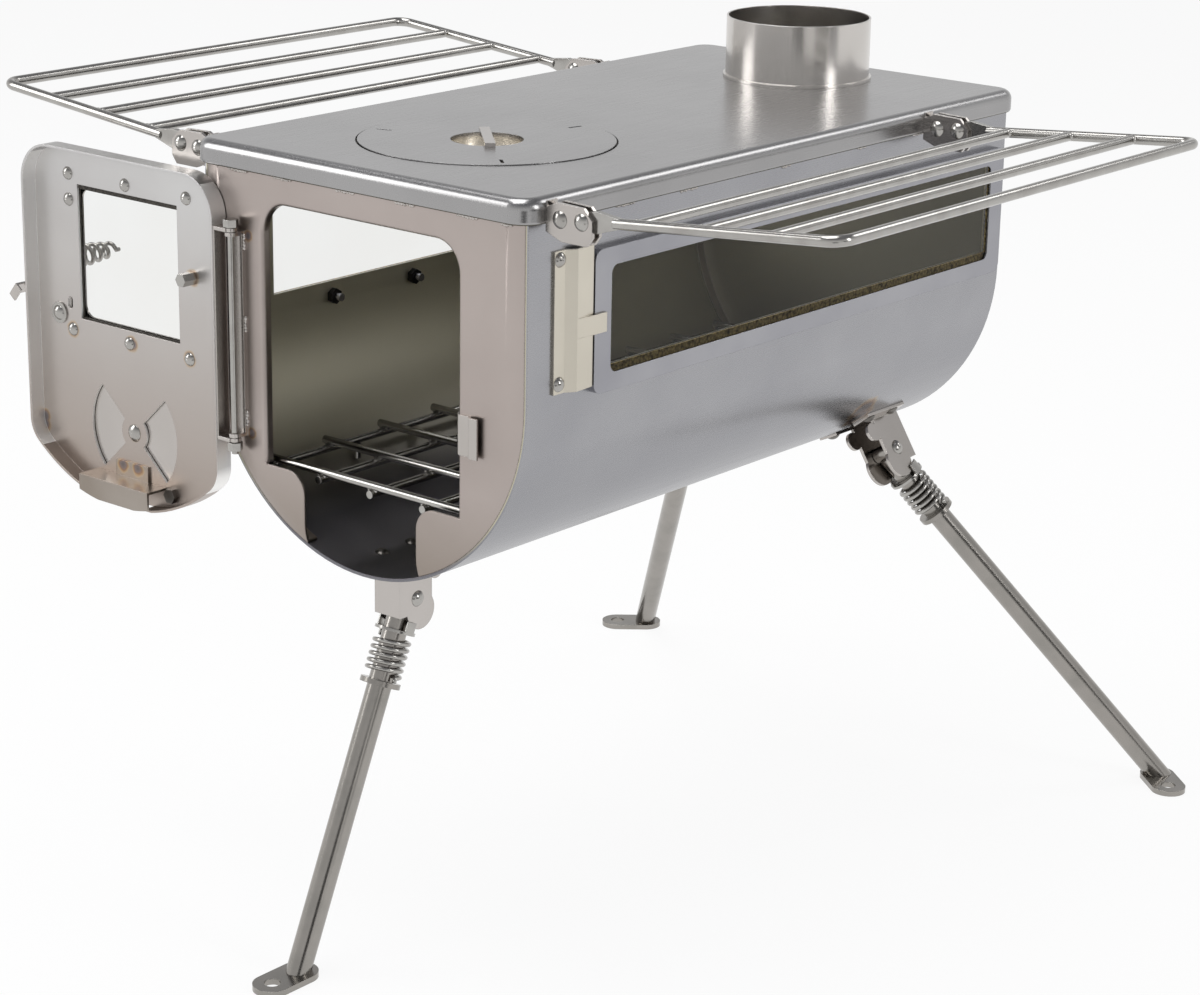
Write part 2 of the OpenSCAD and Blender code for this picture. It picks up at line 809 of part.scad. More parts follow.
module clip_screws() {
    seat = body_r + clip_t;
    color("dimgray") both_windows() at_clip_screws() {
        rotate([0, 90, 0]) translate([0, 0, seat])
            rivet(clip_screw_r, 3.5, 2.2, clip_t + shell_t + nut_t + 1);
        difference() {
            translate([body_r - shell_t - nut_t, 0, 0]) rotate([0, 90, 0])
                cylinder(r = clip_nut_r, h = nut_t, $fn = 6);
            rod_x(body_r - shell_t - nut_t - past, body_r, clip_screw_r + 0.05);
        }
    }
}

// Hinge on the left jamb

module hinge_bracket() {
    color("tan") difference() {
        union() {
            translate([-hinge_x - eye_r, face_y - web_t, -hinge_low])
                cube([2 * eye_r, web_t, hinge_low - hinge_top]);
            for (z = [-hinge_top - tab_t, -hinge_low]) along_z(z, z + tab_t) {
                translate([-hinge_x, hinge_y]) circle(eye_r);
                translate([-hinge_x - eye_r, hinge_y])
                    square([2 * eye_r, face_y - hinge_y - web_t / 2]);
            }
        }
        translate([-hinge_x, hinge_y, -far]) cylinder(r = pin_r + fit, h = far);
    }
}

module hinge_bolt() {
    top = -hinge_top + leaf_gap + leaf_t + leaf_gap;
    color("dimgray") translate([-hinge_x, hinge_y, 0]) {
        translate([0, 0, top]) cylinder(r = eye_r + 0.7, h = bolt_head_h, $fn = 6);
        translate([0, 0, -hinge_low - bolt_tail])
            cylinder(r = pin_r, h = hinge_low + bolt_tail + top + past);
    }
}

module hinge_nut() {
    top = -hinge_low - leaf_gap - leaf_t - leaf_gap - 0.2;
    color("dimgray") translate([-hinge_x, hinge_y, top - hinge_nut_h]) difference() {
        cylinder(r = eye_r + 0.7, h = hinge_nut_h, $fn = 6);
        translate([0, 0, -past]) cylinder(r = pin_r + fit, h = hinge_nut_h + 2 * past);
    }
}

// Catch plate on the right jamb that the latch hook goes behind
module latch_catch() {
    raised = face_y - catch_t - catch_raise;
    wrap = jamb_depth - roll_r - 0.2;
    color("silver") along_z(catch_z[0], catch_z[1]) {
        polygon([
            [roll_x, face_y - catch_t], [roll_x + 5.2, face_y - catch_t],
            [roll_x + 6.7, raised], [roll_x + 11.6, raised], [roll_x + 11.6, raised + catch_t],
            [roll_x + 7.2, raised + catch_t], [roll_x + 5.7, face_y], [roll_x, face_y]
        ]);
        intersection() {
            translate([roll_x, face_y + roll_r]) difference() {
                circle(roll_r + catch_t);
                circle(roll_r);
            }
            translate([jamb_x - catch_t, face_y - catch_t]) square(roll_r + catch_t);
        }
        translate([jamb_x - catch_t, face_y + roll_r]) square([catch_t, wrap]);
    }
}

// Door, drawn closed and then swung open about the hinge pin

module swung_open() {
    translate([-hinge_x, hinge_y, 0]) rotate([0, 0, 180])
        translate([hinge_x, -hinge_y, 0]) children();
}

// The door's outline, a given distance inside its edge
module door_outline(inset) {
    upper = door_upper_r - inset;
    lower = door_lower_r - inset;
    upper_x = door_half - door_upper_r;
    upper_z = -door_top - door_upper_r;
    reach = 1.5;
    translate([inset - door_half, lower_z])
        square([2 * (door_half - inset), upper_z - lower_z]);
    translate([-upper_x, upper_z - past]) square([2 * upper_x, upper + past]);
    for (s = [-1, 1]) {
        translate([s * upper_x, upper_z]) circle(upper);
        translate([s * lower_x, lower_z]) circle(lower);
    }
    intersection() {
        translate([0, -side_h]) circle(door_arc - inset);
        polygon([
            [0, -side_h], [reach * lower_x, -side_h + reach * (lower_z + side_h)],
            [-reach * lower_x, -side_h + reach * (lower_z + side_h)]
        ]);
    }
}

// Two wings of the air inlet, on either side of its rivet
module vent_wings(r, half) {
    for (s = [0, 180]) rotate(s) intersection() {
        difference() {
            circle(r);
            circle(vent_in);
        }
        polygon([[0, 0], [2 * r * cos(half), -2 * r * sin(half)],
                 [2 * r * cos(half), 2 * r * sin(half)]]);
    }
}

module at_door_screws() {
    for (x = [-screw_x, -vent_x, screw_x], z = screw_z) translate([x, 0, -z]) children();
    translate([screw_x, 0, -screw_z[0] - 13]) children();
}

module door_pan() {
    color("lightgray") swung_open() difference() {
        along_y(base_out, rim_y) door_outline(0);
        along_y(base_in, rim_y + past) door_outline(door_t);
        along_y(base_out - past, base_in + past) {
            translate([-door_view_w / 2, -door_view_bottom])
                square([door_view_w, door_view_bottom - door_view_top]);
            translate([vent_x, vent_z]) vent_wings(vent_r, vent_half);
            translate(stop_slot) rounded_rect(slot_across, slot_up, slot_across / 2 - 0.1);
        }
        at_door_screws() rod_y(base_out - past, base_in + past, screw_hole_r);
        translate([spindle[0], 0, spindle[1]])
            rod_y(base_out - past, base_in + past, spindle_r + fit);
        translate([vent_x, 0, vent_z])
            rod_y(base_out - past, base_in + past, vent_rivet_r + fit);
    }
}

module door_window_frame() {
    outer = base_out - door_win_d;
    color("silver") swung_open() difference() {
        along_y(outer, base_out) translate([0, door_win_mid])
            rounded_rect(door_win_w, door_win_h, 6);
        along_y(outer + win_t, base_out + past) translate([0, door_win_mid])
            rounded_rect(door_win_w - 2 * win_t, door_win_h - 2 * win_t, 6 - win_t);
        along_y(outer - past, base_out) translate([0, door_win_mid])
            rounded_rect(door_win_w - 17, door_win_h - 21, 6);
        at_door_screws() rod_y(outer - past, base_out, screw_hole_r);
    }
}

module door_pane_outline() {
    translate([-door_pane_w / 2, -door_pane_top - door_pane_h])
        square([door_pane_w, door_pane_h]);
}

module door_glass() {
    inner = base_out - door_gasket_t;
    color("darkslategray", 0.6) swung_open() along_y(inner - pane_t, inner)
        door_pane_outline();
}

module door_gasket() {
    rim = 4;
    color("black") swung_open() along_y(base_out - door_gasket_t, base_out) difference() {
        door_pane_outline();
        translate([rim - door_pane_w / 2, rim - door_pane_top - door_pane_h])
            square([door_pane_w - 2 * rim, door_pane_h - 2 * rim]);
    }
}

module door_screws() {
    outer = base_out - door_win_d;
    color("gray") swung_open() at_door_screws() {
        translate([0, base_in, 0]) rotate([-90, 0, 0])
            rivet(1.5, 3.4, 2, base_in - outer + 1.5);
        difference() {
            translate([0, outer, 0]) rotate([90, 0, 0]) cylinder(r = 2.6, h = 1.4, $fn = 6);
            rod_y(outer - 2, outer + past, 1.55);
        }
    }
}

// Channel on the door's edge whose eyes turn on the hinge bolt
module door_hinge_bracket() {
    web_x = door_half;
    half = 3.6;
    top = -hinge_top + leaf_gap;
    low = -hinge_low - leaf_gap;
    color("silver") swung_open() difference() {
        union() {
            translate([-web_x - 1, hinge_y - half, low - leaf_t])
                cube([1, 2 * half, top - low + 2 * leaf_t]);
            for (z = [top, low - leaf_t]) along_z(z, z + leaf_t) {
                translate([-hinge_x, hinge_y]) circle(eye_r);
                translate([-hinge_x, hinge_y - half])
                    square([hinge_x - web_x - 0.5, 2 * half]);
            }
        }
        translate([-hinge_x, hinge_y, -far]) cylinder(r = pin_r + fit, h = far);
    }
}

// Ash lip: a folded plate that closes the ash slot
module door_lip() {
    front = base_in + lip_reach;
    color("silver") swung_open() intersection() {
        union() {
            translate([lip_x - lip_half, base_in, lip_top_z - door_t])
                cube([2 * lip_half, lip_reach, door_t]);
            translate([lip_x - lip_half, front - door_t, lip_top_z - lip_drop])
                cube([2 * lip_half, door_t, lip_drop]);
            translate([lip_tab[0], base_in, lip_top_z - door_t])
                cube([lip_tab[1] - lip_tab[0], door_t, door_t + lip_tab_h]);
        }
        translate([0, 0, -side_h]) rod_y(base_out, front + past, lip_arc);
    }
}

module lip_bolt() {
    color("gray") swung_open() translate([lip_bolt_x, base_in, lip_top_z - 3])
        rotate([-90, 0, 0]) cylinder(r = lip_bolt_r, h = 2.6, $fn = 6);
}

module vent_rivet() {
    tail = base_in - damper_y + damper_gap;
    color("silver") swung_open() translate([vent_x, base_in, vent_z]) rotate([-90, 0, 0])
        double_rivet(vent_rivet_r, 4.5, 2, tail);
}

module door_stud() {
    color("gray") swung_open() translate([stud_x, base_in, door_stud_z]) rotate([-90, 0, 0])
        cylinder(r = 3.4, h = 8, $fn = 6);
}

module latch_spindle() {
    color("gray") swung_open() translate([spindle[0], base_in, spindle[1]])
        rotate([-90, 0, 0]) {
            cylinder(r = 5.5, h = 0.8);
            translate([0, 0, 0.8])
                double_rivet(spindle_r, 3.8, 2, base_in - lever_y + lever_gap + 0.8);
        }
}

// Round plate that turns over the door's air openings
module air_damper() {
    color("silver") swung_open() translate([vent_x, 0, vent_z]) {
        difference() {
            along_y(damper_y, damper_y + damper_t) difference() {
                circle(damper_r);
                rotate(90) vent_wings(vent_r - 1, vent_half - 1);
            }
            rod_y(damper_y - past, base_out, vent_rivet_r + fit);
        }
        translate([damper_r - 9, damper_y - damper_tab[1], -damper_tab[2] / 2])
            cube([damper_tab[0], damper_tab[1] + damper_t / 2, damper_tab[2]]);
    }
}

// Bell crank on the latch spindle: a lever up to the grip and a hook round the door's edge
module door_handle() {
    hub = 4.5;
    arm_w = 7;
    hook_x = finger_x[1] - spindle[0];
    hook_z = finger_z - spindle[1];
    color("darkgray") swung_open() translate([spindle[0], 0, spindle[1]]) difference() {
        union() {
            along_y(lever_y, lever_y + lever_t) {
                circle(hub);
                rotate(lever_angle) {
                    translate([0, -arm_w / 2]) square([lever_len, arm_w]);
                    translate([lever_len, 0]) circle(hub);
                }
                rotate(latch_turn) polygon([
                    [-1, -hub + 1], [hook_x + hook_t, hook_z - finger_w / 2],
                    [hook_x + hook_t, hook_z + finger_w / 2], [-1, hub - 1]
                ]);
            }
            rotate([0, -latch_turn, 0]) {
                translate([hook_x, lever_y + lever_t / 2, hook_z - finger_w / 2])
                    cube([hook_t, finger_y + finger_t - lever_y - lever_t / 2, finger_w]);
                translate([finger_x[0] - spindle[0], finger_y, hook_z - finger_w / 2])
                    cube([finger_x[1] - finger_x[0] + hook_t / 2, finger_t, finger_w]);
            }
        }
        rod_y(lever_y - past, lever_y + lever_t + past, spindle_r + fit);
    }
}

// Wound wire: one unbroken tube along a path

function unit(v) = v / norm(v);
// Direction of a path at one of its points
function heading(path, i) =
    unit(path[min(i + 1, len(path) - 1)] - path[max(i - 1, 0)]);
// Corners of the tube's ring around one point; side is a direction off the path
function tube_ring(path, i, r, side, sides) =
    let (t = heading(path, i), b = unit(cross(t, side)), n = cross(b, t))
    [for (k = [0:sides - 1])
        path[i] + r * (cos(360 * k / sides) * n + sin(360 * k / sides) * b)];
// A coil's path about z: straight at both ends for one wire diameter, a helix between
function coil_path(r0, r1, turns, length, wire) =
    let (steps = round(turns * 8), rise = length - 2 * wire)
    concat(
        [[r0, 0, 0]],
        [for (i = [0:steps])
            let (u = i / steps, r = r0 + (r1 - r0) * u, a = 360 * turns * u)
            [r * cos(a), r * sin(a), wire + rise * u]],
        [[r1 * cos(360 * turns), r1 * sin(360 * turns), length]]);
// Least gap between turns that lie three quarters of a turn or more apart
function least_gap(path, wire) =
    min([for (i = [0:len(path) - 7], j = [i + 6:len(path) - 1])
        norm(path[i] - path[j])]) - wire;

module wire_tube(path, wire) {
    sides = 6;
    last = len(path) - 1;
    points = [for (i = [0:last])
        let (side = unit([path[i][0], path[i][1], 0]))
        each tube_ring(path, i, wire / 2, side, sides)];
    walls = [for (i = [0:last - 1], k = [0:sides - 1])
        let (a = i * sides + k, b = i * sides + (k + 1) % sides)
        each [[a, b, b + sides], [a, b + sides, a + sides]]];
    ends = [for (k = [1:sides - 2])
        each [[0, k + 1, k], [last * sides, last * sides + k, last * sides + k + 1]]];
    polyhedron(points = points, faces = concat(walls, ends));
}

grip_r = 6.5;
grip_tip_r = 3;
grip_len = 35;
grip_path = coil_path(grip_r, grip_tip_r, grip_turns, grip_len, grip_wire);
spring_path = coil_path((spring_d - spring_wire) / 2, (spring_d - spring_wire) / 2,
                        spring_turns, spring_len, spring_wire);
echo(grip_least_gap = least_gap(grip_path, grip_wire));
echo(spring_least_gap = least_gap(spring_path, spring_wire));

// Wire grip wound in a narrowing coil, standing on the lever
module handle_grip() {
    x = spindle[0] + lever_len * cos(lever_angle);
    z = spindle[1] + lever_len * sin(lever_angle);
    color("gainsboro") swung_open() translate([x, lever_y, z]) rotate([90, 0, 0])
        translate([-grip_r + 3, 0, 0]) wire_tube(grip_path, grip_wire);
}

// Grate

module grate() {
    rod = grate_rod / 2;
    first = face_y + jamb_depth + rod + 2.4;
    last = first + grate_pitch * (grate_count - 1);
    low = lip_z + 0.97 * grate_rod;
    outer = grate_w / 2 - 3;
    foot_z = side_h + sqrt(pow(body_r - shell_t, 2) - pow(outer + rod, 2)) - 0.3;
    color("dimgray") {
        for (i = [0:grate_count - 1]) translate([0, first + grate_pitch * i, -lip_z])
            rod_x(-grate_w / 2, grate_w / 2, rod);
        for (x = [-outer, -outer / 2, 0, outer / 2, outer]) translate([x, 0, -low])
            rod_y(first - rod - 0.5, last + rod + 0.5, rod - 0.05);
        for (s = [-1, 1], y = [first + 1.5 * grate_pitch, last - 1.5 * grate_pitch])
            translate([s * outer, y, -foot_z]) cylinder(r = rod - 0.15, h = foot_z - low);
    }
}

// Shelves, drawn for the right side

// Turns the shelf's own flat frame up by its tilt at its pivot
module shelf_frame() {
    translate([shelf_pivot[0], 0, shelf_pivot[1]]) rotate([0, -shelf_tilt, 0]) children();
}

module shelf_tongue() {
    rotate([90, 0, 0]) linear_extrude(tongue_t, center = true) difference() {
        polygon([
            [-tongue_in, -2.9], [-8.4, -2.9], [-6.4, 3.4], [7, 4.8],
            [tongue_out, 1.6], [tongue_out, -1.6], [7, -4.8], [-8, -6.4], [-tongue_in, -6.4]
        ]);
        circle(pivot_r + fit);
    }
}

module shelf(side) {
    span = shelf_reach - shelf_pivot[0];
    rear = shelf_front + shelf_len;
    color("silver") on_side(side) shelf_frame() {
        for (y = [shelf_front, rear]) translate([0, y, 0]) {
            shelf_tongue();
            rod_x(tongue_out - 6, span - shelf_corner, rod_r);
        }
        translate([span, 0, 0]) rod_y(shelf_front + shelf_corner, rear - shelf_corner, rod_r);
        translate([span - shelf_corner, shelf_front + shelf_corner, 0]) rotate(-90)
            rotate_extrude(angle = 90) translate([shelf_corner, 0]) circle(rod_r);
        translate([span - shelf_corner, rear - shelf_corner, 0])
            rotate_extrude(angle = 90) translate([shelf_corner, 0]) circle(rod_r);
        for (i = [1:3]) translate([span - shelf_pitch * i, 0, 0])
            rod_y(shelf_front, rear, rod_r - 0.15);
    }
}

module at_shelf_brackets() {
    left_and_right() for (y = [shelf_front, shelf_front + shelf_len])
        translate([0, y, 0]) children();
}

// Channel on the lid's skirt that a shelf tongue turns in
module shelf_brackets() {
    web_x = frame_x;
    outer_x = shelf_pivot[0] + 6;
    top = -1;
    bottom = -18;
    notch = 3.5;
    half = cheek_gap + bracket_t;
    color("gainsboro") at_shelf_brackets() difference() {
        union() {
            for (s = [-1, 1]) translate([0, s * (cheek_gap + bracket_t / 2), 0])
                along_y(-bracket_t / 2, bracket_t / 2) polygon([
                    [web_x, top - 3], [web_x + 6, top], [outer_x - 5, top - 0.5],
                    [outer_x, top - 5.5], [outer_x, bottom + 4], [outer_x - 3, bottom],
                    [web_x + 9, bottom], [web_x, bottom + notch]
                ]);
            translate([web_x, -half, bottom + notch])
                cube([bracket_t / 2, 2 * half, top - bottom - notch]);
        }
        translate([stop_rivet[0], 0, stop_rivet[1]]) rod_y(-far, far, stop_r + 0.05);
        translate([shelf_pivot[0], 0, shelf_pivot[1]]) rod_y(-far, far, pivot_r + 0.05);
    }
}

module shelf_rivets() {
    half = cheek_gap + bracket_t;
    color("white") at_shelf_brackets() {
        translate([stop_rivet[0], half, stop_rivet[1]]) rotate([-90, 0, 0])
            double_rivet(stop_r, 4, 2.2, 2 * half);
        translate([shelf_pivot[0], half, shelf_pivot[1]]) rotate([-90, 0, 0])
            double_rivet(pivot_r, 4, 2.2, 2 * half);
    }
}

// Legs

// The bracket's frame: origin at the pivot, x along the pivot, z square to the shell
module bracket_frame(leg) {
    translate([leg_x(leg), leg[3], -leg_depth(leg)]) rotate([0, leg[1], 0]) children();
}

// The leg's frame: the tube runs along -z
module leg_frame(leg) {
    bracket_frame(leg) rotate([leg[2], 0, 0]) children();
}

module facing(leg) {
    if (leg[0] == 0) children();
    else mirror([0, 1, 0]) children();
}

// Riveted channel under the shell that the leg folds into
module leg_bracket(leg) {
    up = leg[4] + 8;
    color("silver") difference() {
        union() {
            bracket_frame(leg) facing(leg) {
                for (s = [-1, 1]) along_x(s > 0 ? cheek_in : -cheek_out,
                                          s > 0 ? cheek_out : -cheek_in) {
                    translate([-leg_web, leg_web_low]) square([leg_web + 10, up]);
                    translate(cheek_eye) circle(cheek_eye_r);
                    translate([13, 12]) circle(5);
                }
                translate([-cheek_out, -leg_web, leg_web_low])
                    cube([2 * cheek_out, 1.6, up]);
            }
            leg_flanges(leg);
        }
        translate([0, 0, -side_h]) rod_y(-past, lid_len, body_r);
        bracket_frame(leg) rod_x(-far, far, pivot_r + 0.05);
        at_bracket_rivets(leg) translate([0, 0, -4]) cylinder(r = leg_rivet_r + 0.1, h = 8);
    }
}

// Curved feet of a leg bracket, lying on the shell
module leg_flanges(leg) {
    reach = leg_rivet_y[1] + 6;
    intersection() {
        translate([0, 0, -side_h]) rod_y(0, lid_len, body_r + leg_flange_t);
        bracket_frame(leg) facing(leg) for (s = [-1, 1])
            translate([s > 0 ? cheek_in : -cheek_out - leg_flange_out, -8, 0])
                cube([leg_flange_out + leg_bracket_t, reach + 8, far / 6]);
    }
}

module leg_bracket_rivets() {
    // A flat head inside the curved shell stands off the wall by this much at its middle
    sag = pow(leg_rivet_head, 2) / (2 * (body_r - shell_t)) + 0.01;
    grip = shell_t + leg_flange_t + sag;
    color("dimgray") for (leg = [LEG_FRONT, LEG_LEFT, LEG_RIGHT]) at_bracket_rivets(leg)
        translate([0, 0, leg_flange_t]) double_rivet(leg_rivet_r, leg_rivet_head, 1.6, grip);
}

module leg_pivot_rivets() {
    color("white") for (leg = [LEG_FRONT, LEG_LEFT, LEG_RIGHT]) bracket_frame(leg)
        translate([cheek_out, 0, 0]) rotate([0, 90, 0])
            double_rivet(pivot_r, 4, 2.2, 2 * cheek_out);
}

// Leg tube with its pivot sleeve, cut level on its foot plate, and the spring's stop washer
module leg_tube(leg) {
    color("gray") difference() {
        leg_frame(leg) {
            difference() {
                union() {
                    translate([0, 0, -leg_run(leg) - tube_d])
                        cylinder(r = tube_r, h = leg_run(leg) + tube_d - 2);
                    translate([0, 0, -spring_end - washer_t - 0.7])
                        cylinder(r = lock_r, h = washer_t);
                    rod_x(-sleeve_half, sleeve_half, sleeve_r);
                }
                rod_x(-far, far, pivot_r + fit);
                translate([0, 0, -leg_run(leg) - 2 * tube_d])
                    cylinder(r = tube_r - tube_wall, h = leg_run(leg) + 2 * tube_d - sleeve_r - 2);
            }
        }
        translate([-far / 2, -far / 2, -far - stove_h + foot_t]) cube([far, 2 * far, far]);
    }
}

// Oblong foot with a peg hole at its free end
module foot_plate(leg) {
    aim = leg[0] == 0 ? -90 : (leg[0] > 0 ? -40.5 : -139.5);
    color("darkgray") translate([foot_x(leg), foot_y(leg), -stove_h]) rotate(aim)
        linear_extrude(foot_t) difference() {
            union() {
                circle(foot_r);
                translate([foot_reach, 0]) circle(foot_r);
                translate([0, -foot_r]) square([foot_reach, foot_w]);
            }
            translate([foot_reach, 0]) circle(peg_r);
        }
}

// Locking cup that the spring pushes up against the bracket
module lock_cup(leg) {
    ear = [ear_t, 6, 5];
    color("gainsboro") leg_frame(leg) {
        difference() {
            translate([0, 0, -cup_s - cup_t]) cylinder(r = lock_r, h = cup_t);
            translate([0, 0, -cup_s - cup_t - past])
                cylinder(r = tube_r + cup_gap, h = cup_t + 2 * past);
        }
        for (s = [-1, 1]) translate([s * (lock_r - ear_t / 2) - ear_t / 2, -ear[1] / 2, -cup_s])
            intersection() {
                cube(ear);
                translate([ear_t / 2 - s * (lock_r - ear_t / 2), ear[1] / 2, 0])
                    cylinder(r = lock_r, h = ear[2]);
            }
    }
}

module leg_spring(leg) {
    color("white") leg_frame(leg) translate([0, 0, -spring_end])
        wire_tube(spring_path, spring_wire);
}

place() body_shell();
place() front_panel();
place() rear_panel();
place() top_plate();
place() flue_collar();
place() hotplate_seat();
place() window_frame(-1);  // window_frame_left
place() window_frame(1);  // window_frame_right
place() window_glass(-1);  // window_glass_left
place() window_glass(1);  // window_glass_right
place() window_gasket(-1);  // window_gasket_left
place() window_gasket(1);  // window_gasket_right
place() window_clip(-1);  // window_clip_left
place() window_clip(1);  // window_clip_right
place() clip_screws();
place() window_nuts();
place() hinge_bracket();
place() hinge_bolt();
place() hinge_nut();
place() latch_catch();
place() shelf_brackets();
place() shelf_rivets();
place() leg_bracket(LEG_FRONT);  // leg_bracket_front
place() leg_bracket(LEG_LEFT);  // leg_bracket_rear_left
place() leg_bracket(LEG_RIGHT);  // leg_bracket_rear_right
place() leg_bracket_rivets();
place() leg_pivot_rivets();
place() door_pan();
place() door_window_frame();
place() door_glass();
place() door_gasket();
place() door_screws();
place() door_hinge_bracket();
place() door_lip();
place() lip_bolt();
place() vent_rivet();
place() door_stud();
place() latch_spindle();
place() air_damper();
place() door_handle();
place() handle_grip();
place() hotplate();
place() hotplate_bar();
place() grate();
place() shelf(-1);  // shelf_left
place() shelf(1);  // shelf_right
place() leg_tube(LEG_FRONT);  // leg_tube_front
place() leg_tube(LEG_LEFT);  // leg_tube_rear_left
place() leg_tube(LEG_RIGHT);  // leg_tube_rear_right
place() foot_plate(LEG_FRONT);  // foot_plate_front
place() foot_plate(LEG_LEFT);  // foot_plate_rear_left
place() foot_plate(LEG_RIGHT);  // foot_plate_rear_right
place() lock_cup(LEG_FRONT);  // lock_cup_front
place() lock_cup(LEG_LEFT);  // lock_cup_rear_left
place() lock_cup(LEG_RIGHT);  // lock_cup_rear_right
place() leg_spring(LEG_FRONT);  // leg_spring_front
place() leg_spring(LEG_LEFT);  // leg_spring_rear_left
place() leg_spring(LEG_RIGHT);  // leg_spring_rear_right
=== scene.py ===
"""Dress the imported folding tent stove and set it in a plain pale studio.

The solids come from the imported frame. This script gives each of them its finish, winds the leg
springs and the grip smoothly, and adds the weld beads that join the rods and sheets.
Lengths named _mm are in millimetres, in the stove's own frame. There x = 0 is the centre plane,
y = 0 the lid's front edge and z = 0 the lid's top.
"""

from __future__ import annotations

import logging
import math
from dataclasses import dataclass
from enum import Enum
from typing import Iterable, Optional, Sequence

import bpy
from mathutils import Matrix, Vector


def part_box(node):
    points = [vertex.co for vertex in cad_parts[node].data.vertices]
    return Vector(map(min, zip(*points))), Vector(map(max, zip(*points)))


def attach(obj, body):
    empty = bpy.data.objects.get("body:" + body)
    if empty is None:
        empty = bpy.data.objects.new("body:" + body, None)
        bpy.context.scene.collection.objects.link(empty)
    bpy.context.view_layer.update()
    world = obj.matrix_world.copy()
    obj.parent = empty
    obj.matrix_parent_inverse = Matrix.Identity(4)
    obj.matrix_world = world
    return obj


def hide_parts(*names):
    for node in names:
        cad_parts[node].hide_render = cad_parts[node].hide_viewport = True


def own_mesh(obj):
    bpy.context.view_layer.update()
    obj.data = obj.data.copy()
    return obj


LOG = logging.getLogger("stove")
MM = 0.001

# Seed of the weld beads' random sizes and turns
SEED = 7

Point = tuple[float, float, float]
Pair = tuple[float, float]
Tree = bpy.types.NodeTree
Socket = bpy.types.NodeSocket
Material = bpy.types.Material

# Left and right, as the sign of x
SIDES = (-1, 1)

# Sockets of a Mix node in colour mode, told apart by number because their names repeat
MIX_SHARE = 0
MIX_UNDER = 6
MIX_OVER = 7
MIX_OUT = 2


class Axis(Enum):
    """Direction in which a sheet was brushed, with the axis's number as its value."""

    ACROSS = 0
    ALONG = 1
    UP = 2


@dataclass(frozen=True)
class Place:
    """Turns the stove's own millimetres into the row's metres."""

    lid_front: float
    lid_top: float

    @classmethod
    def from_frame(cls) -> "Place":
        """Read the lid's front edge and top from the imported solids.

        Returns:
            The place of the stove's own frame in the row.
        """
        low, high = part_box("top_plate")
        return cls(low.y, high.z)

    def at(self, point_mm: Sequence[float]) -> Vector:
        """Give a point of the stove's own frame in the row.

        Args:
            point_mm: The point in millimetres.

        Returns:
            The point in metres.
        """
        x, y, z = point_mm
        return Vector((x * MM, y * MM + self.lid_front, z * MM + self.lid_top))


def srgb(hex_colour: str) -> tuple[float, float, float, float]:
    """Turn an sRGB hex colour into Blender's linear one.

    Args:
        hex_colour: Six hex digits with a leading hash.

    Returns:
        Linear red, green, blue and full alpha.
    """
    parts = [int(hex_colour[i : i + 2], 16) / 255 for i in (1, 3, 5)]
    linear = [p / 12.92 if p <= 0.04045 else ((p + 0.055) / 1.055) ** 2.4 for p in parts]
    return (linear[0], linear[1], linear[2], 1.0)


def texture_scale(patch_mm: float) -> float:
    """Give the scale at which a texture's patches have this size, in millimetres."""
    return 1 / (patch_mm * MM)


def add(tree: Tree, kind: str, inputs: Optional[dict] = None,
        **settings) -> bpy.types.Node:
    """Add a node with its settings and links.

    Args:
        tree: The tree that gets the node.
        kind: The node's type name.
        inputs: Socket name or number to a value, or to the socket that feeds it.
        settings: Attributes of the node.

    Returns:
        The new node.
    """
    node = tree.nodes.new(kind)
    for name, value in settings.items():
        setattr(node, name, value)
    for key, value in (inputs or {}).items():
        if isinstance(value, Socket):
            tree.links.new(value, node.inputs[key])
        else:
            node.inputs[key].default_value = value
    return node


def new_material(name: str) -> tuple[Material, Tree]:
    """Start an empty node material.

    Args:
        name: The material's name.

    Returns:
        The material and its cleared tree.
    """
    material = bpy.data.materials.new(name)
    material.use_nodes = True
    material.node_tree.nodes.clear()
    return material, material.node_tree


def close_material(tree: Tree, shader: bpy.types.Node) -> None:
    """Link a shader to the material's output."""
    add(tree, "ShaderNodeOutputMaterial", {"Surface": shader.outputs[0]})


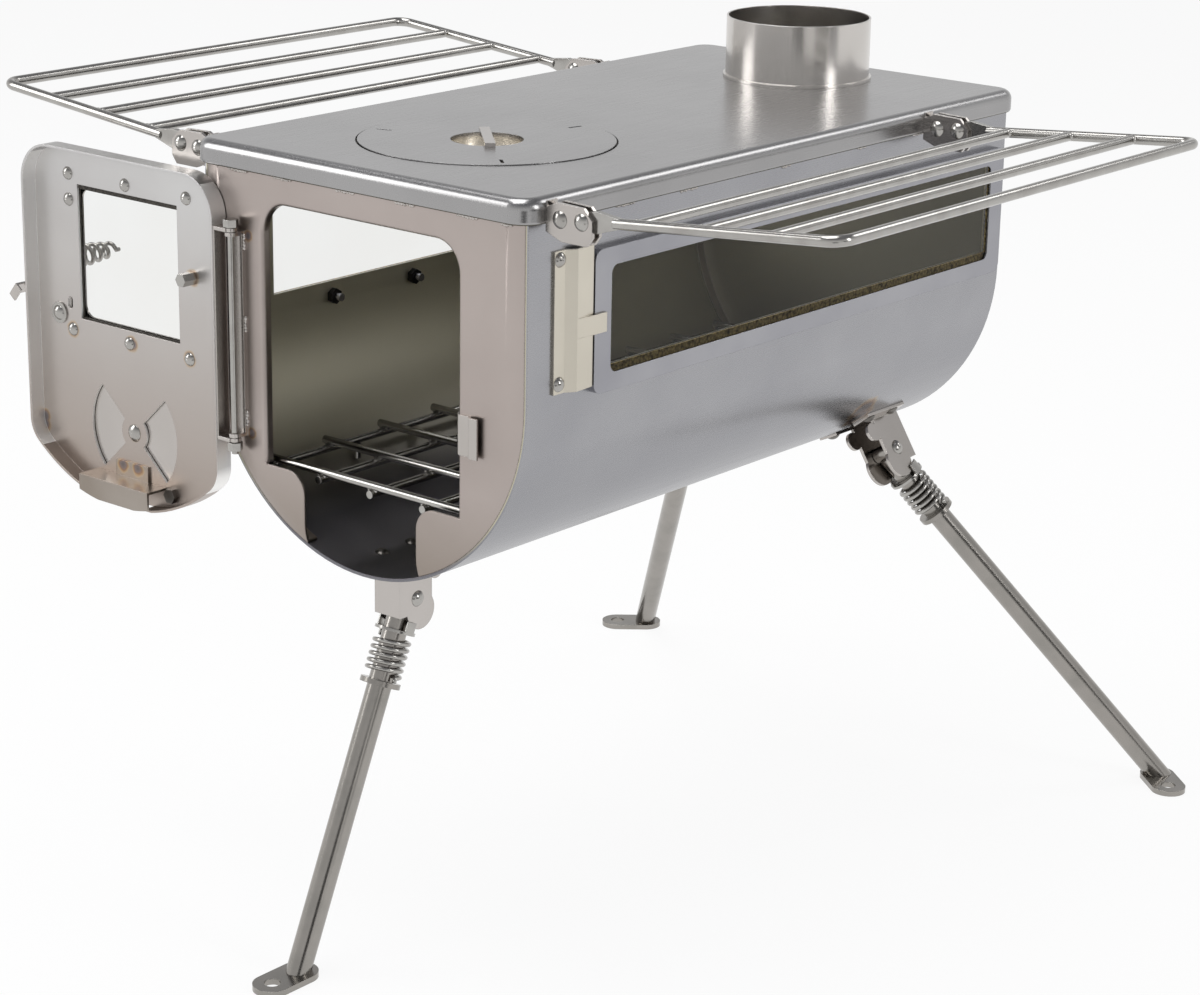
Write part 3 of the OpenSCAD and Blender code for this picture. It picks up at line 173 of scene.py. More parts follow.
@dataclass(frozen=True)
class HeatTint:
    """Rings of straw, brown and blue that welding leaves around a spot on stainless steel."""

    spots: tuple[Vector, ...]
    reach_mm: float = 4.5
    strength: float = 0.75
    wander_mm: float = 2.4
    wobble_mm: float = 4.545

    def colour(self, tree: Tree, base: Socket,
               coords: Socket) -> Socket:
        """Mix the tint over a base colour.

        Args:
            tree: The material's tree.
            base: The colour without heat.
            coords: Object coordinates.

        Returns:
            The tinted colour's socket.
        """
        nearest = None
        for spot in self.spots:
            gap = add(tree, "ShaderNodeVectorMath", {0: coords, 1: spot}, operation="DISTANCE")
            if nearest is None:
                nearest = gap.outputs["Value"]
            else:
                both = {0: nearest, 1: gap.outputs["Value"]}
                nearest = add(tree, "ShaderNodeMath", both, operation="MINIMUM").outputs[0]
        wobble = add(tree, "ShaderNodeTexNoise", {
            "Vector": coords, "Scale": texture_scale(self.wobble_mm), "Detail": 3.0})
        shifted = add(tree, "ShaderNodeMath", {
            0: wobble.outputs[0], 1: self.wander_mm * MM, 2: nearest,
        }, operation="MULTIPLY_ADD")
        middle = self.wander_mm / 2 * MM
        span = add(tree, "ShaderNodeMapRange", {
            "Value": shifted.outputs[0], "From Min": middle, "From Max": middle + self.reach_mm * MM})
        ramp = add(tree, "ShaderNodeValToRGB", {0: span.outputs[0]})
        # From the spot outwards: where each ring lies, its colour and how much of it shows
        stops = ((0.25, "#57545a", 1.0), (0.45, "#6b5f63", 0.9), (0.6, "#85603f", 0.9),
                 (0.78, "#b3925f", 0.6), (1.0, "#c9bda4", 0.0))
        bar = ramp.color_ramp
        while len(bar.elements) < len(stops):
            bar.elements.new(0.5)
        for element, (place, colour, strength) in zip(bar.elements, stops):
            element.position = place
            element.color = srgb(colour)[:3] + (strength * self.strength,)
        mix = add(tree, "ShaderNodeMix", {
            MIX_SHARE: ramp.outputs["Alpha"], MIX_UNDER: base, MIX_OVER: ramp.outputs["Color"],
        }, data_type="RGBA")
        return mix.outputs[MIX_OUT]


@dataclass(frozen=True)
class FireSide:
    """The shell's fire side: what lies nearer its axis than the middle of its wall, in metres."""

    axis_z: float
    wall_radius: float

    def mask(self, tree: Tree, coords: Socket) -> Socket:
        """Give 1 on the wall's inner face.

        Args:
            tree: The material's tree.
            coords: Object coordinates.

        Returns:
            The mask's socket.
        """
        split = add(tree, "ShaderNodeSeparateXYZ", {0: coords})
        drop = add(tree, "ShaderNodeMath", {0: split.outputs[2], 1: self.axis_z}, operation="SUBTRACT")
        low = add(tree, "ShaderNodeMath", {0: drop.outputs[0], 1: 0.0}, operation="MINIMUM")
        flat = add(tree, "ShaderNodeCombineXYZ", {0: split.outputs[0], 1: low.outputs[0]})
        radius = add(tree, "ShaderNodeVectorMath", {0: flat.outputs[0]}, operation="LENGTH")
        picked_side = add(tree, "ShaderNodeMath", {0: radius.outputs["Value"], 1: self.wall_radius},
                     operation="LESS_THAN")
        return picked_side.outputs[0]


@dataclass(frozen=True)
class Fade:
    """A second colour that comes in with depth, in metres of the row's height."""

    start_z: float
    end_z: float
    colour: str

    @classmethod
    def between(cls, place: Place, span_mm: Pair, colour: str) -> "Fade":
        """Make a fade from one level of the stove's own frame to another.

        Args:
            place: The place of the stove's own frame.
            span_mm: Levels where the colour starts and where it is full, in millimetres.
            colour: The second colour.

        Returns:
            The fade.
        """
        start, end = (place.at((0, 0, level)).z for level in span_mm)
        return cls(start, end, colour)

    def over(self, tree: Tree, base: Socket,
             coords: Socket) -> Socket:
        """Mix the second colour over a base colour.

        Args:
            tree: The material's tree.
            base: The colour at the start level.
            coords: Object coordinates.

        Returns:
            The mixed colour's socket.
        """
        height = add(tree, "ShaderNodeSeparateXYZ", {0: coords}).outputs[2]
        share = add(tree, "ShaderNodeMapRange", {
            "Value": height, "From Min": self.start_z, "From Max": self.end_z})
        mix = add(tree, "ShaderNodeMix", {
            MIX_SHARE: share.outputs[0], MIX_UNDER: base, MIX_OVER: srgb(self.colour),
        }, data_type="RGBA")
        return mix.outputs[MIX_OUT]


@dataclass(frozen=True)
class FacingSide:
    """The side of a flat sheet whose normal points a given way."""

    direction: Point
    least_dot: float = 0.6

    def mask(self, tree: Tree, coords: Socket) -> Socket:
        """Give 1 on the faces that point this way.

        Args:
            tree: The material's tree.
            coords: Object coordinates, taken so that every kind of side is asked alike.

        Returns:
            The mask's socket.
        """
        normal = add(tree, "ShaderNodeNewGeometry").outputs["True Normal"]
        dot = add(tree, "ShaderNodeVectorMath", {0: normal, 1: self.direction},
                  operation="DOT_PRODUCT")
        facing = add(tree, "ShaderNodeMath", {0: dot.outputs["Value"], 1: self.least_dot},
                     operation="GREATER_THAN")
        return facing.outputs[0]


@dataclass(frozen=True)
class SheetSteel:
    """Rolled stainless sheet: a satin metal with a fine grain one way and soft clouding.

    The grain's lines are 0.7 mm apart, some seven times the real grit, so that they show. Pressed
    sheet is never quite flat either, so waves of some 70 mm bend its reflections.
    """

    name: str
    colour: str
    cloud: str
    grain: Axis = Axis.ACROSS
    roughness: float = 0.3
    cloud_mm: float = 71.43
    cloud_span: Pair = (0.35, 0.7)
    grain_mm: float = 0.7
    grain_stretch: float = 45.0
    grain_span: Pair = (0.3, 0.7)
    grain_rough: float = 0.015
    wave_mm: float = 71.43
    wave_depth_mm: float = 0.3
    edge_mm: float = 0.5
    fire_rough: float = 0.5
    # Colour of the faces that the side mask picks: heat-tinted steel on a fire side, darker still as
    # painted shade on the end panels and under the lid
    heat_and_painted_light_colour: Optional[str] = None
    # Painted shade laid over the fire side's colour towards the fire room's floor
    fire_floor_shade: Optional[Fade] = None
    fade: Optional[Fade] = None
    # Faces that get the side colour; on the door these are its right-facing rim, painted as a highlight
    heat_and_painted_light_side: Optional[FireSide | FacingSide] = None
    tint: Optional[HeatTint] = None

    def make(self) -> Material:
        """Build the material.

        Returns:
            The finished material.
        """
        material, tree = new_material(self.name)
        coords = add(tree, "ShaderNodeTexCoord").outputs["Object"]
        clouds = add(tree, "ShaderNodeTexNoise", {
            "Vector": coords, "Scale": texture_scale(self.cloud_mm), "Detail": 4.0})
        cloudy = add(tree, "ShaderNodeMapRange", {
            "Value": clouds.outputs[0], "From Min": self.cloud_span[0], "From Max": self.cloud_span[1]})
        colour = add(tree, "ShaderNodeMix", {
            MIX_SHARE: cloudy.outputs[0], MIX_UNDER: srgb(self.colour), MIX_OVER: srgb(self.cloud),
        }, data_type="RGBA").outputs[MIX_OUT]
        if self.fade:
            colour = self.fade.over(tree, colour, coords)
        if self.tint:
            colour = self.tint.colour(tree, colour, coords)
        stretch = [texture_scale(self.grain_mm)] * 3
        stretch[self.grain.value] /= self.grain_stretch
        lines = add(tree, "ShaderNodeMapping", {"Vector": coords, "Scale": stretch})
        brushed = add(tree, "ShaderNodeTexNoise", {
            "Vector": lines.outputs[0], "Scale": 1.0, "Detail": 1.0})
        rough = add(tree, "ShaderNodeMapRange", {
            "Value": brushed.outputs[0], "From Min": self.grain_span[0], "From Max": self.grain_span[1],
            "To Min": self.roughness - self.grain_rough,
            "To Max": self.roughness + self.grain_rough}).outputs[0]
        # Lay the side colour on the faces that the side mask picks: heat tint and painted shade on fire
        # sides, a painted highlight on the door's rim
        if self.heat_and_painted_light_side and self.heat_and_painted_light_colour:
            picked_side = self.heat_and_painted_light_side.mask(tree, coords)
            heat_and_light_tone = add(tree, "ShaderNodeRGB").outputs[0]
            heat_and_light_tone.default_value = srgb(self.heat_and_painted_light_colour)
            # Painted shade darkens the fire side's colour towards the fire room's floor
            if self.fire_floor_shade:
                heat_and_light_tone = self.fire_floor_shade.over(tree, heat_and_light_tone, coords)
            colour = add(tree, "ShaderNodeMix", {
                MIX_SHARE: picked_side, MIX_UNDER: colour, MIX_OVER: heat_and_light_tone,
            }, data_type="RGBA").outputs[MIX_OUT]
            rough = add(tree, "ShaderNodeMix", {
                "Factor": picked_side, "A": rough, "B": self.fire_rough}).outputs[0]
        edge = add(tree, "ShaderNodeBevel", {"Radius": self.edge_mm * MM}, samples=3)
        waves = add(tree, "ShaderNodeTexNoise", {
            "Vector": coords, "Scale": texture_scale(self.wave_mm), "Detail": 0.0})
        bump = add(tree, "ShaderNodeBump", {
            "Strength": 0.3, "Distance": self.wave_depth_mm * MM, "Height": waves.outputs[0],
            "Normal": edge.outputs[0]})
        steel = add(tree, "ShaderNodeBsdfPrincipled", {
            "Base Color": colour, "Metallic": 1.0, "Roughness": rough, "Normal": bump.outputs[0]})
        close_material(tree, steel)
        return material


@dataclass(frozen=True)
class BrightSteel:
    """Polished stainless wire, tube or stamping: a hard mirror with faint handling haze.

    The haze patches are about 12 mm across, as fingers and polishing leave them.
    """

    name: str
    colour: str
    haze: str
    roughness: float
    haze_rough: float = 0.05
    haze_mm: float = 12.5
    haze_span: Pair = (0.4, 0.75)
    rough_span: Pair = (0.3, 0.75)
    edge_mm: float = 0.4

    def make(self) -> Material:
        """Build the material.

        Returns:
            The finished material.
        """
        material, tree = new_material(self.name)
        coords = add(tree, "ShaderNodeTexCoord").outputs["Object"]
        patches = add(tree, "ShaderNodeTexNoise", {
            "Vector": coords, "Scale": texture_scale(self.haze_mm), "Detail": 3.0})
        hazy = add(tree, "ShaderNodeMapRange", {
            "Value": patches.outputs[0], "From Min": self.haze_span[0], "From Max": self.haze_span[1]})
        colour = add(tree, "ShaderNodeMix", {
            MIX_SHARE: hazy.outputs[0], MIX_UNDER: srgb(self.colour), MIX_OVER: srgb(self.haze),
        }, data_type="RGBA").outputs[MIX_OUT]
        rough = add(tree, "ShaderNodeMapRange", {
            "Value": patches.outputs[0], "From Min": self.rough_span[0], "From Max": self.rough_span[1],
            "To Min": self.roughness, "To Max": self.roughness + self.haze_rough})
        edge = add(tree, "ShaderNodeBevel", {"Radius": self.edge_mm * MM}, samples=3)
        steel = add(tree, "ShaderNodeBsdfPrincipled", {
            "Base Color": colour, "Metallic": 1.0, "Roughness": rough.outputs[0],
            "Normal": edge.outputs[0]})
        close_material(tree, steel)
        return material


@dataclass(frozen=True)
class HeatGlass:
    """Clear glass-ceramic pane with a faint, uneven smoke film.

    The index is set under the real 1.5, so that the pane reflects the white studio as weakly as
    the photo shows.
    """

    name: str
    smoke: str
    clear: str = "#f4f5f4"
    smoke_mm: float = 83.33
    smoke_span: Pair = (0.3, 0.8)
    most_smoke: float = 0.15
    roughness: float = 0.02
    index: float = 1.15

    def make(self) -> Material:
        """Build the material.

        Returns:
            The finished material.
        """
        material, tree = new_material(self.name)
        coords = add(tree, "ShaderNodeTexCoord").outputs["Object"]
        film = add(tree, "ShaderNodeTexNoise", {
            "Vector": coords, "Scale": texture_scale(self.smoke_mm), "Detail": 2.0})
        smoky = add(tree, "ShaderNodeMapRange", {
            "Value": film.outputs[0], "From Min": self.smoke_span[0], "From Max": self.smoke_span[1],
            "To Min": 0.0, "To Max": self.most_smoke})
        colour = add(tree, "ShaderNodeMix", {
            MIX_SHARE: smoky.outputs[0], MIX_UNDER: srgb(self.clear), MIX_OVER: srgb(self.smoke),
        }, data_type="RGBA").outputs[MIX_OUT]
        glass = add(tree, "ShaderNodeBsdfPrincipled", {
            "Base Color": colour, "Roughness": self.roughness, "IOR": self.index,
            "Transmission Weight": 1.0})
        # Light from outside falls straight through the thin pane on to the fire room's walls
        rays = add(tree, "ShaderNodeLightPath").outputs
        clear = add(tree, "ShaderNodeBsdfTransparent", {"Color": colour})
        pane = add(tree, "ShaderNodeMixShader", {
            0: rays["Is Shadow Ray"], 1: glass.outputs[0], 2: clear.outputs[0]})
        close_material(tree, pane)
        return material


@dataclass(frozen=True)
class FibreCord:
    """Braided glass-fibre sealing cord: matt, dark, with strands about 1 mm apart."""

    name: str
    colour: str = "#2a2826"
    light: str = "#57524b"
    strand_mm: float = 1.0
    relief_mm: float = 0.4

    def make(self) -> Material:
        """Build the material.

        Returns:
            The finished material.
        """
        material, tree = new_material(self.name)
        coords = add(tree, "ShaderNodeTexCoord").outputs["Object"]
        strands = add(tree, "ShaderNodeTexVoronoi", {
            "Vector": coords, "Scale": texture_scale(self.strand_mm)})
        colour = add(tree, "ShaderNodeMix", {
            MIX_SHARE: strands.outputs[0], MIX_UNDER: srgb(self.light), MIX_OVER: srgb(self.colour),
        }, data_type="RGBA").outputs[MIX_OUT]
        bump = add(tree, "ShaderNodeBump", {
            "Strength": 0.5, "Distance": self.relief_mm * MM, "Height": strands.outputs[0]})
        fibre = add(tree, "ShaderNodeBsdfPrincipled", {
            "Base Color": colour, "Roughness": 0.95, "Normal": bump.outputs[0]})
        close_material(tree, fibre)
        return material


def put(name: str, data: bpy.types.ID) -> bpy.types.Object:
    """Put a new object with this data in the scene."""
    item = bpy.data.objects.new(name, data)
    bpy.context.scene.collection.objects.link(item)
    return item


def dress(nodes: Iterable[str], material: Material) -> None:
    """Give CAD nodes a material.

    Args:
        nodes: Names of the nodes.
        material: The material that all of them get.
    """
    for name in nodes:
        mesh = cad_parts[name].data
        mesh.materials.clear()
        mesh.materials.append(material)
        LOG.info("dressed %s with %s", name, material.name)


def mesh_piece(name: str, points: Sequence[Vector], faces: Sequence[Sequence[int]],
               material: Material, body: str) -> bpy.types.Object:
    """Make a smooth mesh piece that rides on a body.

    Args:
        name: The piece's name.
        points: Its corners, in metres.
        faces: Corner numbers of each face.
        material: Its material.
        body: The body that it moves with.

    Returns:
        The new object.
    """
    mesh = bpy.data.meshes.new(name)
    mesh.from_pydata([tuple(p) for p in points], [], [tuple(f) for f in faces])
    mesh.shade_smooth()
    mesh.materials.append(material)
    piece = put(name, mesh)
    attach(piece, body)
    LOG.info("made %s on %s", name, body)
    return piece


def tube(path: Sequence[Vector], radius: float, sides: int) -> tuple[list[Vector], list[list[int]]]:
    """Sweep a round tube with rounded ends along a path.

    Args:
        path: Points of the centre line.
        radius: The tube's radius.
        sides: Faces around the tube.

    Returns:
        The tube's corners and faces, pointing outwards.
    """
    # Each end closes with one smaller ring a little way out, as shares of the radius
    nose_reach = 0.35
    nose_size = 0.7
    after = list(path[1:]) + [path[-1]]
    before = [path[0]] + list(path[:-1])
    heading = [(ahead - behind).normalized() for ahead, behind in zip(after, before)]
    side = heading[0].orthogonal().normalized()
    rings: list[tuple[Vector, Vector, float, Vector]] = []
    for i, point in enumerate(path):
        side = (side - heading[i] * side.dot(heading[i])).normalized()
        rings.append((point, side, radius, heading[i]))
    first, last = rings[0], rings[-1]
    nose = [(first[0] - first[3] * radius * nose_reach, first[1], radius * nose_size, first[3])]
    tail = [(last[0] + last[3] * radius * nose_reach, last[1], radius * nose_size, last[3])]
    points: list[Vector] = []
    for centre, across, size, ahead in nose + rings + tail:
        up = ahead.cross(across)
        for k in range(sides):
            angle = 2 * math.pi * k / sides
            points.append(centre + size * (math.cos(angle) * across + math.sin(angle) * up))
    count = len(path) + 2
    faces = []
    for ring in range(count - 1):
        here = ring * sides
        there = here + sides
        for k in range(sides):
            following = (k + 1) % sides
            faces.append([here + k, here + following, there + following, there + k])
    faces.append(list(range(sides))[::-1])
    faces.append([(count - 1) * sides + k for k in range(sides)])
    return points, faces


@dataclass(frozen=True)
class Coil:
    """A wire wound round an axis, straight at both ends for one wire diameter."""

    start_r_mm: float
    end_r_mm: float
    wire_mm: float
    turns: float
    length_mm: float
    steps: int = 28

    def path(self) -> list[Vector]:
        """Give the wire's centre line about z, in metres.

        Returns:
            Points from the coil's foot to its tip.
        """
        count = round(self.turns * self.steps)
        rise = self.length_mm - 2 * self.wire_mm
        points = [Vector((self.start_r_mm, 0, 0))]
        for i in range(count + 1):
            share = i / count
            radius = self.start_r_mm + (self.end_r_mm - self.start_r_mm) * share
            angle = 2 * math.pi * self.turns * share
            points.append(Vector((radius * math.cos(angle), radius * math.sin(angle),
                                  self.wire_mm + rise * share)))
        end = 2 * math.pi * self.turns
        tip = (self.end_r_mm * math.cos(end), self.end_r_mm * math.sin(end), self.length_mm)
        points.append(Vector(tip))
        return [p * MM for p in points]


class Beads:
    """Weld beads set on points by Geometry Nodes, one plain mesh for each body."""

    def __init__(self) -> None:
        """Build the node tree once."""
        self.tree = bpy.data.node_groups.new("Weld beads", "GeometryNodeTree")
        face = self.tree.interface
        for name, kind in (("Points", "Geometry"), ("Bead radius", "Float"),
                           ("Unevenness", "Float"), ("Seed", "Int"), ("Steel", "Material")):
            face.new_socket(name, in_out="INPUT", socket_type="NodeSocket" + kind)
        face.new_socket("Beads", in_out="OUTPUT", socket_type="NodeSocketGeometry")
        given = add(self.tree, "NodeGroupInput").outputs
        small = add(self.tree, "ShaderNodeMath", {0: 1.0, 1: given["Unevenness"]}, operation="SUBTRACT")
        large = add(self.tree, "ShaderNodeMath", {0: 1.0, 1: given["Unevenness"]}, operation="ADD")
        size = add(self.tree, "FunctionNodeRandomValue", {
            "Min": small.outputs[0], "Max": large.outputs[0], "Seed": given["Seed"],
        }, data_type="FLOAT_VECTOR")
        turn = add(self.tree, "FunctionNodeRandomValue", {
            "Min": (0.0,) * 3, "Max": (math.tau,) * 3, "Seed": given["Seed"],
        }, data_type="FLOAT_VECTOR")
        ball = add(self.tree, "GeometryNodeMeshIcoSphere", {
            "Radius": given["Bead radius"], "Subdivisions": 3})
        dots = add(self.tree, "GeometryNodeMeshToPoints", {"Mesh": given["Points"]})
        spread = add(self.tree, "GeometryNodeInstanceOnPoints", {
            "Points": dots.outputs[0], "Instance": ball.outputs[0],
            "Rotation": turn.outputs[0], "Scale": size.outputs[0]})
        real = add(self.tree, "GeometryNodeRealizeInstances", {0: spread.outputs[0]})
        smooth = add(self.tree, "GeometryNodeSetShadeSmooth", {0: real.outputs[0]})
        steel = add(self.tree, "GeometryNodeSetMaterial", {
            "Geometry": smooth.outputs[0], "Material": given["Steel"]})
        add(self.tree, "NodeGroupOutput", {0: steel.outputs[0]})

    def make(self, name: str, points: Sequence[Vector], radius_mm: float, uneven: float,
             material: Material, body: str) -> bpy.types.Object:
        """Set beads on points and turn them into a plain mesh.

        Args:
            name: The piece's name.
            points: Middles of the beads, in metres.
            radius_mm: Mean radius of a bead.
            uneven: How far each bead may differ from the mean, as a share.
            material: The beads' material.
            body: The body that they ride on.

        Returns:
            The new object.
        """
        cloud = bpy.data.meshes.new(name + "_points")
        cloud.from_pydata([tuple(p) for p in points], [], [])
        holder = put(name + "_holder", cloud)
        modifier = holder.modifiers.new("Beads", "NODES")
        modifier.node_group = self.tree
        values = {"Bead radius": radius_mm * MM, "Unevenness": uneven, "Seed": SEED, "Steel": material}
        for item in self.tree.interface.items_tree:
            if item.in_out == "INPUT" and item.name in values:
                modifier[item.identifier] = values[item.name]
        graph = bpy.context.evaluated_depsgraph_get()
        mesh = bpy.data.meshes.new_from_object(holder.evaluated_get(graph))
        bpy.data.objects.remove(holder)
        mesh.name = name
        piece = put(name, mesh)
        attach(piece, body)
        LOG.info("made %s on %s, %d beads", name, body, len(points))
        return piece


@dataclass
class Body:
    """Wrapped shell, end panels, lid and what is fixed to them."""

    place: Place
    radius_mm: float = 101.0
    sheet_mm: float = 1.5
    axis_mm: float = -94.4
    panel_face_mm: float = 4.1
    hinge_x_mm: float = -76.8
    hinge_top_mm: float = -41.1
    hinge_len_mm: float = 99.9
    seam_z_mm: float = -12.4
    # Painted shade: depths where the fire side starts to darken towards the fire room's floor, and
    # where it is full
    fire_floor_shade_mm: Pair = (-152.0, -182.0)
    # Painted shade: depths where the wall's outside starts to darken towards the floor, and where it is
    # full
    shade_mm: Pair = (-120.0, -190.0)
    # Painted shade: depths where the front panel starts to darken towards the floor, and where it is
    # full
    darker_below_mm: Pair = (-140.0, -190.0)
    # Painted light: depths where the hotplate starts to turn near white below the plate's level, and
    # where it is full
    cup_painted_light_mm: Pair = (-0.5, -2.5)
    # Middles of dark blue and brown rings on the wall beside the rear legs' brackets
    bracket_rings_mm: tuple[Point, ...] = ((75, 303, -161), (69, 309, -168), (-75, 303, -161))
    front_tacks_mm: tuple[float, ...] = (-82, -76, -52, -47, -12, -7, 25, 30, 62, 68, 88)
    side_tacks_mm: tuple[float, ...] = (66, 72, 112, 118, 190, 252, 300, 306)
    hinge_tacks_mm: tuple[float, ...] = (2, 42, 88)
    tack_beads: int = 4
    tack_pitch_mm: float = 1.6
    seam_proud_mm: float = 0.1
    hinge_beads: int = 5
    hinge_pitch_mm: float = 1.5
    hinge_bead_x_mm: float = 3.5
    hinge_proud_mm: float = 0.2
    hinge_tint_x_mm: float = 6.0
    hinge_tint_inset_mm: float = 2.0

    def dress(self) -> None:
        """Give the shell, panels and lid their finishes."""
        self.dress_shell()
        self.dress_panels()
        self.dress_lid()

    def dress_shell(self) -> None:
        """Finish the wrapped wall, darker towards the floor as painted shade, with dark rings beside
        the rear legs' brackets; its fire side is duller and heat-tinted, and darker towards the fire
        room's floor as painted shade.
        """
        heat_and_painted_light_side = FireSide(self.place.at((0, 0, self.axis_mm)).z,
                             (self.radius_mm - self.sheet_mm / 2) * MM)
        # Dark blue and brown rings beside the rear legs' brackets, drawn with the heat tint's rings
        bracket_rings = HeatTint(tuple(self.place.at(spot) for spot in self.bracket_rings_mm),
                          reach_mm=11.0, strength=0.8, wander_mm=6.0)
        # Cold-rolled stainless with a mill finish: cool grey, faintly streaked along its length
        shell = SheetSteel("Wrapped wall stainless", "#a3a3a6", "#99999d", Axis.ALONG, 0.27,
                           fire_rough=0.4, heat_and_painted_light_colour="#bab5a3", heat_and_painted_light_side=heat_and_painted_light_side,
                           # Painted shade: the fire side darkens towards the fire room's floor
                           fire_floor_shade=Fade.between(self.place, self.fire_floor_shade_mm, "#77757a"),
                           # Painted shade: the wall darkens towards the floor
                           fade=Fade.between(self.place, self.shade_mm, "#7d7d82"),
                           tint=bracket_rings).make()
        dress(["body_shell"], shell)

    def dress_panels(self) -> None:
        """Finish the end panels, the front one with straw tints at the hinge's welds."""
        tint_x = self.hinge_x_mm + self.hinge_tint_x_mm
        top = self.hinge_top_mm - self.hinge_tint_inset_mm
        foot = self.hinge_top_mm - self.hinge_len_mm + self.hinge_tint_inset_mm
        welds = tuple(self.place.at((tint_x, self.panel_face_mm, z)) for z in (top, foot))
        # Brushed across, so that they look warmer and softer than the wall
        front = SheetSteel("Brushed front stainless", "#b3a9a4", "#a89e99", Axis.ACROSS, 0.33,
                           # Painted shade: the front panel darkens towards the floor
                           edge_mm=1.0, fade=Fade.between(self.place, self.darker_below_mm, "#958b82"),
                           # The front panel's fire side is heat-darkened, and darker still as painted
                           # shade
                           heat_and_painted_light_colour="#6d6a60", heat_and_painted_light_side=FacingSide((0.0, 1.0, 0.0)),
                           tint=HeatTint(welds, reach_mm=3.5)).make()
        dress(["front_panel"], front)
        rear = SheetSteel("Brushed rear stainless", "#b3a9a4", "#a89e99", Axis.ACROSS, 0.33,
                          # The rear panel's fire side is heat-darkened, and darker still as painted
                          # shade
                          heat_and_painted_light_colour="#8a8678", heat_and_painted_light_side=FacingSide((0.0, -1.0, 0.0))).make()
        dress(["rear_panel"], rear)

    def dress_lid(self) -> None:
        """Finish the lid, the hotplate in it and the flue collar on it."""
        # Satin sheet with clouding from the press, and an underside that is heat-darkened, and darker
        # still as painted shade
        lid = SheetSteel("Satin lid stainless", "#a3a2a2", "#9a9999", Axis.ALONG, 0.26,
                         heat_and_painted_light_colour="#6b685f", heat_and_painted_light_side=FacingSide((0.0, 0.0, -1.0))).make()
        dress(["top_plate"], lid)
        # Painted light: below the plate's level the hotplate, chiefly its finger cup, is painted near
        # white
        hotplate = SheetSteel("Hotplate stainless", "#a3a2a2", "#9a9999", Axis.ALONG, 0.26,
                              fade=Fade.between(self.place, self.cup_painted_light_mm, "#f2ede4")).make()
        dress(["hotplate"], hotplate)
        # Rolled from bright strip and brushed upright, so its reflections stretch into soft bands
        collar = SheetSteel("Flue collar stainless", "#cdc9c5", "#c1bdb8", Axis.UP, 0.2).make()
        dress(["flue_collar"], collar)

    def weld(self, beads: Beads, steel: Material) -> None:
        """Set the tack welds under the lid, at the front and both sides, and at the hinge bracket.

        Args:
            beads: The bead maker.
            steel: The beads' material.
        """
        steps = [self.tack_pitch_mm * i for i in range(self.tack_beads)]
        front_y = self.panel_face_mm - self.seam_proud_mm
        seam = [(x + step, front_y, self.seam_z_mm) for x in self.front_tacks_mm for step in steps]
        for side in SIDES:
            seam += [(side * self.radius_mm, y + step, self.seam_z_mm)
                     for y in self.side_tacks_mm for step in steps]
        beads.make("lid_seam_welds", [self.place.at(p) for p in seam], radius_mm=1.0, uneven=0.35,
                   material=steel, body="stove_body")
        drops = [start + self.hinge_pitch_mm * i
                 for start in self.hinge_tacks_mm for i in range(self.hinge_beads)]
        bead_x = self.hinge_x_mm + self.hinge_bead_x_mm
        bead_y = self.panel_face_mm - self.hinge_proud_mm
        bracket = [self.place.at((bead_x, bead_y, self.hinge_top_mm - drop)) for drop in drops]
        beads.make("hinge_welds", bracket, radius_mm=1.0, uneven=0.3, material=steel,
                   body="stove_body")


@dataclass
class Windows:
    """The two long side windows with their frames, clips, panes and cords."""

    sides: tuple[str, ...] = ("left", "right")

    def dress(self, frame_steel: Material, glass: Material,
              cord: Material, black: Material) -> None:
        """Finish every piece of both windows.

        Args:
            frame_steel: Finish of the frames.
            glass: Finish of the panes.
            cord: Finish of the sealing cord.
            black: Finish of the nuts.
        """
        # The clips are cut from thinner bright-annealed sheet, which is paler and a touch yellow
        clip = SheetSteel("Pale clip stainless", "#d0cabd", "#c4beb1", Axis.ALONG, 0.3).make()
        for side in self.sides:
            dress([f"window_frame_{side}"], frame_steel)
            dress([f"window_glass_{side}"], glass)
            dress([f"window_gasket_{side}"], cord)
            dress([f"window_clip_{side}"], clip)
        dress(["window_nuts"], black)


